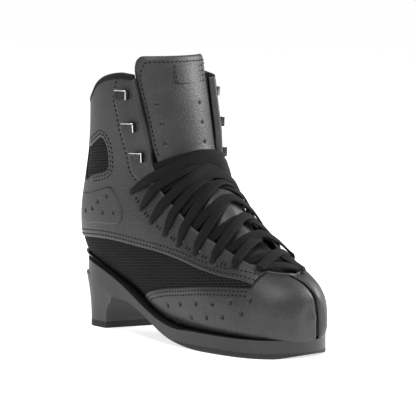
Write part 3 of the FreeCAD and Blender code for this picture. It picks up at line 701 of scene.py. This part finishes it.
def metal(name, dark, light, roughness=0.28):
    """Plated metal with bright worn places."""
    material, tree, bsdf = new_material(name, light, roughness)
    bsdf.inputs["Metallic"].default_value = 1.0
    worn = object_noise(tree, 500.0)
    tree.links.new(ramp(tree, worn, 0.3, 0.7, dark, light), bsdf.inputs["Base Color"])
    tree.links.new(bump(tree, worn, 0.1, 0.0001), bsdf.inputs["Normal"])
    return material


def grey(value, blue=0.0):
    return (value, value, value + blue)


upper_leather = leather("upper_leather", grey(0.016, 0.0005), grey(0.026, 0.001))
# a lighter copy of the upper leather: painted highlight along the rolled edges
highlight_edge_leather = leather("rolled_edge_painted_highlight", grey(0.026, 0.001), grey(0.042, 0.001), grain=1100.0)
knit_mesh = knit("knit_mesh", grey(0.0006), grey(0.014, 0.0005))
lace_braid = braid("lace_braid", grey(0.0008), grey(0.0055, 0.0002))
lining_cloth = cloth("lining_cloth", grey(0.004), grey(0.008))
binding_cloth = cloth("collar_cloth", grey(0.004), grey(0.009), scale=900.0)
bed_cloth = cloth("footbed_cloth", grey(0.045, 0.002), grey(0.075, 0.003), scale=700.0)
thread = cloth("seam_thread", grey(0.0008), grey(0.002), scale=2500.0)
composite = moulded("moulded_composite", grey(0.013, 0.0005), grey(0.021, 0.0005))
tread_rubber = moulded("tread_rubber", grey(0.007), grey(0.012), rough=(0.6, 0.8))
dark_nickel = metal("dark_nickel", grey(0.035), grey(0.06), 0.35)
bright_nickel = metal("bright_nickel", (0.55, 0.54, 0.52), (0.75, 0.74, 0.72), 0.2)
eyelet_paint = moulded("eyelet_enamel", grey(0.010), grey(0.020), rough=(0.25, 0.4))


# ---------------------------------------------------------------- punched holes
HOLE_RADIUS = 1.9
VAMP_HOLES = [(140.6, 33.8), (160, 37.6), (183, 40.7), (204.5, 43), (225, 46.3), (117, 27),
              (113, 19.5), (134.5, 19), (150, 21), (175, 27.5), (197, 30.4), (217, 33), (237, 37.8)]
TOE_HOLE = (44.5, 243, 49)                                   # x on the inner side, run, z
PATCH_HOLES = [(59, 122.8), (46, 117), (37, 110), (53, 108), (68, 109), (24, 107)]


def hole_list(places, side):
    return [(on_side(side, run, z)[0], HOLE_RADIUS) for run, z in places]


# ---------------------------------------------------------------- leather panels
EDGE_ROLL, EDGE_HIGH = 1.6, 0.9              # a turned edge's reach and rise
SUNK = 0.5                                   # a panel's edge lies this far inside the form
STAY_HIGH = 0.7                              # the leather over the hooks' and eyelets' stay
KNIT_UNDER = 3.0                             # how far the knit runs on under the leather
GROOVE_HALF = 1.6


def panel_regions(side):
    """The values that cut the quarter, vamp, side mesh, ankle mesh and heel patch of one side."""

    def this_side(points):
        return points[:, 0] * -side

    def quarter(points):
        cut = outside(points, under_binding, mesh_area, vamp_area, ankle_area)
        return np.max([cut, -opening_value(points), this_side(points)], 0)

    def vamp(points):
        groove = (points[:, 0] - groove_x(points[:, 2])) * -side + GROOVE_HALF
        area = signed(side_view(points), vamp_area)
        return np.max([area, -opening_value(points), groove, outside(points, below_floor)], 0)

    def mesh(points):
        area = signed(side_view(points), mesh_area) - KNIT_UNDER
        return np.max([area, outside(points, below_floor), this_side(points)], 0)

    def ankle(points):
        return np.maximum(signed(side_view(points), ankle_area) - KNIT_UNDER, this_side(points))

    def patch(points):
        return np.maximum(signed(side_view(points), patch_area), this_side(points))

    return quarter, vamp, mesh, ankle, patch


def quarter_lift(points, _):
    """Rolled at the panel's own seams, and higher on the stay; the boot's centre line isn't an edge."""
    flat = side_view(points)
    seams = [signed(flat, area) for area in (under_binding, mesh_area, vamp_area, ankle_area)]
    edge = np.maximum(np.min(seams + [opening_value(points)], 0), 0)
    stay = np.clip(-signed(flat, stay_area), 0, 1) * STAY_HIGH
    return rolled(edge, EDGE_ROLL, EDGE_HIGH) - SUNK + stay


def vamp_lift(points, depth):
    """Rolled at its edges, more at the toe, where the groove is deep."""
    toe = np.clip((HEEL - points[:, 1] - 225) / 25, 0, 1)
    return rolled(depth, EDGE_ROLL + 1.4 * toe, EDGE_HIGH + 0.7 * toe) - SUNK - 0.7 * toe


def flat_lift(height):
    return lambda points, depth: np.full(len(points), height)


def patch_lift(points, _):
    edge = np.maximum(-signed(side_view(points), patch_area), 0)
    return rolled(edge, 1.3, 1.1) + 0.2


for side_name, side in SIDES.items():
    quarter, vamp, mesh, ankle, patch = panel_regions(side)
    piece = skin("quarter_leather_" + side_name, quarter, quarter_lift, upper_leather, "boot")
    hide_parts("quarter_" + side_name, "facing_stay_" + side_name, "interlining_" + side_name)
    holes = hole_list(VAMP_HOLES, side) + [(on_form(side * TOE_HOLE[0], *TOE_HOLE[1:])[0], HOLE_RADIUS)]
    piece = skin("vamp_leather_" + side_name, vamp, vamp_lift, upper_leather, "boot",
                 holes=holes)
    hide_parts("toe_vamp_" + side_name)
    for name, region, height, node in (("mesh_panel_", mesh, -0.9, "side_mesh_"),
                                       ("ankle_mesh_panel_", ankle, -1.0, "ankle_mesh_")):
        piece = skin(name + side_name, region, flat_lift(height), knit_mesh, "boot",
                     cell=CLOTH_CELL, pattern=side_pattern)
        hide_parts(node + side_name)
    piece = skin("heel_patch_leather_" + side_name, patch, patch_lift, upper_leather, "boot",
                 holes=hole_list(PATCH_HOLES, side))
    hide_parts("heel_patch_" + side_name)


# ---------------------------------------------------------------- lining and footbed
LINING_INSET = 8.0


def lining_region(points):
    return np.max([outside(points, above_collar) + 4.0, -opening_value(points) + 3.0], 0)


def bed_region(points):
    return signed(side_view(points), under_foot)


lining = skin("padded_lining", lining_region, flat_lift(0.2), lining_cloth, "boot",
              inset=LINING_INSET, cell=2.0, thick=1.5, inside=True)
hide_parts("lining_lateral", "lining_medial")
bed = skin("footbed_top", bed_region, flat_lift(0.0), bed_cloth, "boot", inset=12.0,
           cell=2.0, thick=2.5, inside=True)
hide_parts("footbed")


# ---------------------------------------------------------------- rolled rims
def rim(name, outer, inner, away, material, body, bulge, tuck, around=18):
    """A turned or padded edge between two lines of points; away points out of the panel."""
    middle, half = (outer + inner) / 2, (outer - inner) / 2
    turn = np.linspace(0, 2 * math.pi, around, endpoint=False)
    c, s = np.cos(turn), np.sin(turn)
    reach = np.where(s > 0, bulge, tuck) * s
    wide = np.sign(c) * np.abs(c) ** 0.75
    rings = middle[:, None] + half[:, None] * wide[None, :, None] + away[:, None] * reach[None, :, None]
    return tube(name, rings, material, body)


def form_point(share, place, inset=0):
    return surface(inset, np.array([share]), np.array([place]))[0, 0]


def collar_places(shares):
    """Where the collar's line lies along the boot, for each share of the ring."""
    places = np.linspace(0.6, 1, 400)
    table = surface(0, shares, places)
    line = smooth_line(COLLAR)
    found = []
    for column in range(len(shares)):
        run, z = HEEL - table[:, column, 1], table[:, column, 2]
        gap = z - np.interp(run, line[:, 0], line[:, 1])
        k = max(int(np.argmax(gap > 0)), 1)
        share = gap[k - 1] / (gap[k - 1] - gap[k])
        found.append(places[k - 1] + share * (places[k] - places[k - 1]))
    return np.array(found)


def share_limit(side):
    """Share of the ring where the collar meets the flap's front edge."""
    shares = np.linspace(0.3, 0.98, 200) if side < 0 else np.linspace(1.7, 1.02, 200)
    line = edge_lines[side]
    for share, place in zip(shares, collar_places(shares)):
        point = form_point(share, place)
        edge_run = np.interp(-point[2], -line[:, 1], line[:, 0])
        if HEEL - point[1] > edge_run:
            return share
    return shares[-1]


lateral_end, medial_end = share_limit(LATERAL), share_limit(MEDIAL)
around_back = np.concatenate([np.linspace(lateral_end, 0.0, 60), np.linspace(2.0, medial_end, 60)[1:]])
seats = list(zip(around_back, collar_places(around_back)))
outer_line = np.array([form_point(share, place) for share, place in seats])
inner_line = np.array([form_point(share, place, LINING_INSET) for share, place in seats])
inner_line[:, 2] = outer_line[:, 2]
up = np.tile([0.0, 0.0, 1.0], (len(outer_line), 1))
direction = (outer_line - inner_line) / np.linalg.norm(outer_line - inner_line, axis=1, keepdims=True)
collar = rim("padded_collar", outer_line + direction * 0.8 - up * 3.0,
             inner_line - direction * 1.0 - up * 3.0, up, binding_cloth, "boot",
             bulge=3.0, tuck=5.0)
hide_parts("collar_binding")

FLAP_THICK, FACING_THICK = 6.5, 3.0
collar_line = smooth_line(COLLAR)
for side_name, side in SIDES.items():
    line = edge_lines[side]
    keep = line[:, 1] < np.interp(line[:, 0], collar_line[:, 0], collar_line[:, 1]) - 1.0
    line = line[keep & (line[:, 0] < 254)]
    outer_points, ups = seat_line(line, side, 0.35)
    thick = FACING_THICK + (FLAP_THICK - FACING_THICK) * np.clip((line[:, 1] - 142) / 25, 0, 1)
    inner_points = outer_points - ups * thick[:, None]
    away = np.cross(np.gradient(outer_points, axis=0), ups)
    away /= np.linalg.norm(away, axis=1, keepdims=True)
    if (away * np.array([0, -1, 0.2])).sum() < 0:
        away = -away
    # the facings' rolled edges in the lighter leather, a painted highlight
    rim("facing_edge_" + side_name, outer_points, inner_points, away, highlight_edge_leather, "boot",
        bulge=1.3, tuck=1.6)

# ---------------------------------------------------------------- CAD pieces that keep their shape
FINISHES = {
    "sole_plate": composite, "heel_block": composite, "forefoot_outsole": tread_rubber,
    "heel_top_lift": tread_rubber, "eyelets_lateral": eyelet_paint, "eyelets_medial": eyelet_paint,
    "hooks_lateral": dark_nickel, "hooks_medial": dark_nickel, "hook_rivets_lateral": bright_nickel,
    "hook_rivets_medial": bright_nickel, "tongue_lace_loop": upper_leather, "heel_counter": composite,
    "toe_puff": composite, "toe_groove_strip": lining_cloth, "bottom_filler": composite,
    "insole_board": composite,
}
for node_name, material in FINISHES.items():
    nodes[node_name].data.materials.clear()
    nodes[node_name].data.materials.append(material)

HOOKS = {LATERAL: [(97, 159), (90.5, 185), (84.5, 213)], MEDIAL: [(109, 160), (102, 186), (94, 213)]}
HOOK_OUT, HOOK_BACK, HOOK_FRONT, HOOK_HIGH = 7.3, -4.6, 7.0, 4.0   # bright edges of a hook's head: worn plating, partly a painted highlight
for side_name, side in SIDES.items():
    for number, (run, z) in enumerate(HOOKS[side], start=1):
        place, normal = on_side(side, run, z)
        forward = Vector((0, -1, 0)) - normal * normal.dot(Vector((0, -1, 0)))
        forward.normalize()
        above = normal.cross(forward) * (1 if normal.cross(forward).z > 0 else -1)
        path = [place + normal * (HOOK_OUT + 0.5) + forward * HOOK_BACK + above * HOOK_HIGH,
                place + normal * HOOK_OUT + forward * (HOOK_FRONT - 1.6) + above * HOOK_HIGH,
                place + normal * (HOOK_OUT - 0.9) + forward * (HOOK_FRONT - 0.2) + above * HOOK_HIGH,
                place + normal * (HOOK_OUT - 0.9) + forward * (HOOK_FRONT - 0.2) - above * HOOK_HIGH]
        path, steps = np.array(path), np.linspace(0, 1, 10)[:-1, None]
        fine = np.concatenate([a + (b - a) * steps for a, b in zip(path, path[1:])] + [path[-1:]])
        flat = np.full(len(fine), 1.0)
        rings = ribbon(fine, np.tile(np.array(normal), (len(fine), 1)), flat, flat * 0.9, around=10)
        # bright nickel along the head's edges: worn plating, and partly a painted highlight
        tube("hook_bright_edge_%s_%d" % (side_name, number), rings, bright_nickel, "boot")

# ---------------------------------------------------------------- tongue
TONGUE = ((136, 3, 139, 34, 17), (154, 2.5, 130, 34, 20), (168, 2, 126.5, 35, 23), (188, 1.5, 123, 36, 25),
          (208, 1, 119, 37.5, 26), (228, 0.5, 114, 39, 26), (250, 0.5, 109, 39.5, 26))
TONGUE_TOP, TONGUE_CORNER, TONGUE_HALF = 247.0, 16.0, 50.0   # the last is half its width laid flat


def tongue_point(z, turn, inset=0.0):
    """Point of the tongue's front at a height and a turn of -1 to 1 across it."""
    heights = [row[0] for row in TONGUE]
    middle, front, width, deep = [np.interp(z, heights, [row[k] for row in TONGUE]) for k in range(1, 5)]
    angle = turn * math.radians(85)
    run = front - inset - deep * (1 - np.cos(angle))
    return np.stack([middle + (width - inset) * np.sin(angle), HEEL - run, z + 0 * angle], -1)


def tongue_edge(across, z):
    """Distance inside the tongue's outline, from its width and its round top corners."""
    side = (1 - np.abs(across)) * TONGUE_HALF
    top = TONGUE_TOP - z
    near = np.minimum(side, top)
    corner = TONGUE_CORNER - np.hypot(np.maximum(TONGUE_CORNER - side, 0), np.maximum(TONGUE_CORNER - top, 0))
    return np.where((side < TONGUE_CORNER) & (top < TONGUE_CORNER), corner, near)


TONGUE_HOLES = [(turn, z) for turn in (-0.62, 0.2, 0.64) for z in (205, 188, 171)]
TONGUE_HOLE_RADIUS = 1.7


def tongue_sheet(name, z_low, z_high, lift, material, thick, cell=1.0):
    across = np.linspace(-1, 1, int(105 / cell))
    heights = np.linspace(z_low, z_high, int((z_high - z_low) / cell))
    a, z = np.meshgrid(across, heights)
    points = tongue_point(z, a)
    normals = -grid_normals(points)
    if normals[:, :, 1].sum() > 0:
        normals = -normals
    edge = tongue_edge(a, z)
    holes = [(tongue_point(np.array(height), np.array(turn)), TONGUE_HOLE_RADIUS)
             for turn, height in TONGUE_HOLES]
    # the tongue's punched holes are sunk in and given painted shade
    dent, shade = punched(points, holes)
    points = points + normals * (lift(edge, z) - dent)[:, :, None]
    bm = mapped_grid(points, cloth_lengths(points))
    hole_shade_layer = bm.verts.layers.float.new("hole")
    for vertex, dark in zip(bm.verts, shade.reshape(-1)):
        vertex[hole_shade_layer] = dark
    cut_away(bm, -edge.reshape(-1))
    bm.normal_update()
    if sum(f.normal.y for f in bm.faces) > 0:
        bmesh.ops.reverse_faces(bm, faces=bm.faces)
    bm.verts.layers.float.remove(bm.verts.layers.float["cut"])
    obj = make_object(name, bm, material, None)
    add_uv(obj)
    add_wall(obj, thick)
    return obj


def cover_lift(edge, z):
    """A rolled border, a folded step under the flex seam and the seam's own valley."""
    border = rolled(np.maximum(edge, 0), 4.0, 2.4) - 2.0
    step = 1.2 * (1 - np.clip(np.abs(z - 149.0) / 4.0, 0, 1)) * (z < 152)
    valley = -1.0 * np.exp(-((z - 152.5) / 1.6) ** 2)
    return border + step + valley


cover = tongue_sheet("tongue_front", 138.0, 247.0, cover_lift, upper_leather, 5.5)
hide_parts("tongue_cover", "tongue_padding", "tongue_lining")
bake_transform(cover, "boot", "tongue", start=(0, 0.005, 0.142), end=(0, 0.005, 0.160))


def tongue_row(turns, heights, lift):
    """Places and directions of a row of stitches on the tongue's front."""
    turns, heights = np.asarray(turns, float), np.asarray(heights, float)
    places = tongue_point(heights, turns)
    ups = tongue_point(heights, turns, -4.0) - places
    ups /= np.linalg.norm(ups, axis=1, keepdims=True)
    return places + ups * lift, ups


tongue_seams = Seams()
inner_turn = np.linspace(-0.84, 0.84, 60)
for height in (148.0, 156.5):
    tongue_seams.row(*tongue_row(inner_turn, np.full(60, height), 0.9))
top_turn = np.concatenate([np.full(40, -0.86), np.linspace(-0.86, -0.72, 8), np.linspace(-0.7, 0.7, 50),
                           np.linspace(0.72, 0.86, 8), np.full(40, 0.86)])
top_height = np.concatenate([np.linspace(160, 228, 40), np.linspace(230, 240, 8), np.full(50, 241.5),
                             np.linspace(240, 230, 8), np.linspace(228, 160, 40)])
tongue_seams.row(*tongue_row(top_turn, top_height, 0.45))
LOOP_TURNS, LOOP_HEIGHTS = (-0.2, 0.38), (222.0, 239.5)
for turn in LOOP_TURNS:
    tongue_seams.row(*tongue_row(np.full(12, turn), np.linspace(*LOOP_HEIGHTS, 12), 1.9))
tongue_stitches = tongue_seams.object("tongue_stitches", thread, None)
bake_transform(tongue_stitches, "boot", "tongue", start=(0, 0.005, 0.142), end=(0, 0.005, 0.160))

LOWER_PUFF = 7.4


def lower_region(points):
    run = HEEL - points[:, 1]
    across = np.abs(points[:, 0] - 1)
    return np.max([opening_value(points) - 9.0, points[:, 2] - 151.0, run - 246.0, across - 36], 0)


def lower_lift(points, _):
    """A soft puff between the facings."""
    inside = np.clip((-opening_value(points) - 1.0) / 14.0, 0, 1)
    return LOWER_PUFF * (inside * inside * (3 - 2 * inside))


lower = skin("lower_tongue", lower_region, lower_lift, upper_leather, "boot",
             inset=LINING_INSET, cell=1.4, thick=4.0)
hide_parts("tongue_lower")

# ---------------------------------------------------------------- laces
EYELETS = [(217.5, 74), (195, 77), (175, 82), (154, 88), (136, 95.5), (119, 104.5), (105.5, 115),
           (91, 128)]
TOE_EYELETS = {LATERAL: (-27, 236), MEDIAL: (11, 248)}
HIDDEN_ENDS = {LATERAL: (92, 142), MEDIAL: (106, 149)}
CROSSINGS = [(229, 82), (207, 95.5), (186, 109.5), (168, 124), (154.5, 136), (146, 142.5),
             (140.5, 150), (137, 157)]
LACE_WIDTH, LACE_THICK = 8.6, 2.3
LACE_STEP = 1.6                                              # length of a piece of the curve
LACE_TILT = 0.25                                             # most that a strand leans over
STRAND_HIGH, STRAND_LOW = 3.4, 0.8                           # of two crossing strands, above the form


def eyelet(side, number):
    """Place and direction of an eyelet: 0 is at the toe, the last is hidden under the strands."""
    if number == 0:
        return from_above(*TOE_EYELETS[side])
    if number == len(EYELETS) + 1:
        return on_side(side, *HIDDEN_ENDS[side])
    return on_side(side, *EYELETS[number - 1])


def nearest_edge(side, start, end):
    """Point of the facing's edge that a strand from start to end passes over."""
    line = edge_lines[side]
    line = line[(line[:, 0] < 253) & (line[:, 1] < 160)]
    best = None
    for run, z in line:
        place, normal = on_side(side, run, z)
        along = end - start
        t = min(max((place - start).dot(along) / along.length_squared, 0), 1)
        gap = (place - start - along * t).length
        if best is None or gap < best[0]:
            best = (gap, place, normal)
    return best[1], best[2]


def strand(name, points, ups, widths, thicks):
    """A flat lace through places, with its directions, widths and thicknesses there."""
    fine = smooth_line(np.array(points), step=LACE_STEP)
    travel, fine_travel = travel_along(points), travel_along(fine)
    known, at = travel / travel[-1], fine_travel / fine_travel[-1]
    up = np.stack([np.interp(at, known, np.array(ups)[:, k]) for k in range(3)], 1)
    tilt = random.uniform(-LACE_TILT, LACE_TILT)
    wide, deep = np.interp(at, known, widths), np.interp(at, known, thicks)
    sideways, fixed_up = frames_along(fine, up)
    up = fixed_up + sideways * tilt * np.sin(at * math.pi)[:, None] ** 2
    piece = tube(name, ribbon(fine, up, wide, deep), lace_braid, "boot", widths=wide / 2)
    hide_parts("lace")


def crossing(number, lift):
    """Where two strands cross on the middle of the instep."""
    run, z = CROSSINGS[number]
    place, normal = on_form(1.5, run, z)
    return place + normal * lift, normal


def over_arch(start, end, share, lift):
    """Point between two places of a strand, lifted onto the arch of the instep."""
    place, normal, _, _ = outer_tree.find_nearest(start.lerp(end, share))
    normal = outward(place, normal)
    return place + normal * lift, normal


lace_number = 0
for level in range(len(EYELETS) + 1):
    for side in (LATERAL, MEDIAL):
        lace_number += 1
        start, start_up = eyelet(side, level)
        end, end_up = eyelet(-side, level + 1)
        over = STRAND_HIGH if (side == LATERAL) == (level % 2 == 0) else STRAND_LOW
        if level < len(CROSSINGS):
            centre, centre_up = crossing(level, over)
        else:
            centre, centre_up = crossing(level - 1, over + 1.5)
            centre = centre + Vector((0, 1.0, 5.0))
        edge_a, up_a = nearest_edge(side, start, centre)
        edge_b, up_b = nearest_edge(-side, end, centre)
        near_start = start.lerp(edge_a, 0.5)
        rise_a, rise_up_a = over_arch(edge_a, centre, 0.5, 1.8 + over * 0.4)
        rise_b, rise_up_b = over_arch(centre, edge_b, 0.5, over * 0.5 - 0.4)
        points = [start - start_up * 4.5, start + start_up * 0.8, near_start + start_up * 2.8,
                  edge_a + up_a * 2.6, rise_a, centre, rise_b, edge_b - up_b * 2.6, end - end_up * 5.2]
        ups = [start_up, start_up, start_up, up_a, rise_up_a, centre_up, rise_up_b, up_b, end_up]
        widths = [3.0, 4.4, 8.2, LACE_WIDTH, LACE_WIDTH, LACE_WIDTH, LACE_WIDTH, 7.0, 6.0]
        thicks = [2.4, 3.0, 3.4, LACE_THICK, LACE_THICK, LACE_THICK, LACE_THICK, 2.0, 2.0]
        strand("lace_strand_%02d" % lace_number, points, ups, widths, thicks)
toe_a, toe_up_a = eyelet(LATERAL, 0)
toe_b, toe_up_b = eyelet(MEDIAL, 0)
middle, middle_up = on_form(-8, 244, 74)
strand("lace_toe_bar",
       [toe_a - toe_up_a * 4, toe_a + toe_up_a * 1.2, toe_a.lerp(middle, 0.5) + middle_up * 3.2,
        middle + middle_up * 3.4, toe_b.lerp(middle, 0.5) + middle_up * 3.0, toe_b + toe_up_b * 1.2,
        toe_b - toe_up_b * 4],
       [toe_up_a, toe_up_a, middle_up, middle_up, middle_up, toe_up_b, toe_up_b],
       [3.0, 4.2, 7.5, LACE_WIDTH, 7.5, 4.2, 3.0], [2.4, 2.6, 2.4, 2.4, 2.4, 2.6, 2.4])

# ---------------------------------------------------------------- stitching
seams = Seams()
upper_seam = smooth_line(MESH_UPPER)
# lines of the side view, and how far from each its rows of stitches run
seam_rows = ((upper_seam[upper_seam[:, 0] > 3], (3.0, 6.6)), (smooth_line(MESH_LOWER), (3.2, 6.8)),
             (smooth_line(ANKLE_WINDOW[1:-1]), (3.0, 6.2)), (smooth_line(HEEL_PATCH[1:-1]), (2.6,)),
             (smooth_line(STAY_LINE[1:]), (-1.6,)))
MARK_APART, MARK_HALF = 1.8, 2.2             # the two short stitches between neighbouring eyelets
for side in SIDES.values():
    for line, distances in seam_rows:
        for distance in distances:
            seams.row(*seat_line(offset_line(line, distance), side, 0.35))
    for (run_a, z_a), (run_b, z_b) in zip(EYELETS, EYELETS[1:]):
        middle = np.array([(run_a + run_b) / 2, (z_a + z_b) / 2])
        across = np.array([z_a - z_b, run_b - run_a]) / math.hypot(run_b - run_a, z_b - z_a)
        for shift in (-MARK_APART, MARK_APART):
            along = np.array([across[1], -across[0]]) * shift
            mark = [middle + along - across * MARK_HALF, middle + along + across * MARK_HALF]
            seams.row(*seat_line(mark, side, 0.9), pitch=4.0, length=3.6)
seams.object("seam_stitches", thread, "boot")

# ---------------------------------------------------------------- floor, light and camera
pale_floor, _, bsdf = new_material("pale_floor", grey(0.93), 0.9)
bsdf.inputs["Specular IOR Level"].default_value = 0.1
bsdf.inputs["Emission Color"].default_value = (1, 1, 1, 1)
bsdf.inputs["Emission Strength"].default_value = 0.7
bm = bmesh.new()
bmesh.ops.create_grid(bm, x_segments=2, y_segments=2, size=40)
floor = make_object("floor", bm, pale_floor, None)


def area_light(name, place, target, size, energy):
    data = bpy.data.lights.new(name, "AREA")
    data.size = size
    data.energy = energy
    light = bpy.data.objects.new(name, data)
    light.location = place
    light.rotation_mode = "QUATERNION"
    light.rotation_quaternion = (Vector(target) - Vector(place)).to_track_quat("-Z", "Y")
    bpy.context.scene.collection.objects.link(light)


area_light("key", (-0.5, -0.7, 1.6), (0, 0, 0.1), 0.9, 21)
area_light("fill", (1.5, -0.6, 0.9), (0, 0, 0.12), 0.8, 32)
area_light("left_fill", (-1.8, -0.4, 0.5), (0, 0, 0.12), 1.2, 5)
area_light("rim_light", (0.6, 1.6, 1.4), (0, 0, 0.15), 1.2, 16)
world = bpy.data.worlds.new("studio")
world.use_nodes = True
world.node_tree.nodes["Background"].inputs["Color"].default_value = (1, 1, 1, 1)
world.node_tree.nodes["Background"].inputs["Strength"].default_value = 0.31
bpy.context.scene.world = world
bpy.context.scene.view_settings.view_transform = "Standard"

CAMERA_TURN, CAMERA_RISE, CAMERA_AWAY = -42.4, 6.17, 2.277   # degrees, degrees, metres
turn, rise = math.radians(CAMERA_TURN), math.radians(CAMERA_RISE)
back = Vector((math.sin(turn) * math.cos(rise), -math.cos(turn) * math.cos(rise), math.sin(rise)))
camera_data = bpy.data.cameras.new("camera")
camera_data.lens = 226.3
camera_data.shift_x, camera_data.shift_y = 0.0055, -0.0056
camera = bpy.data.objects.new("camera", camera_data)
camera.location = Vector((0, (HEEL - 140) * MM, 0.120)) + back * CAMERA_AWAY
camera.rotation_mode = "QUATERNION"
camera.rotation_quaternion = (-back).to_track_quat("-Z", "Y")
bpy.context.scene.collection.objects.link(camera)
bpy.context.scene.camera = camera
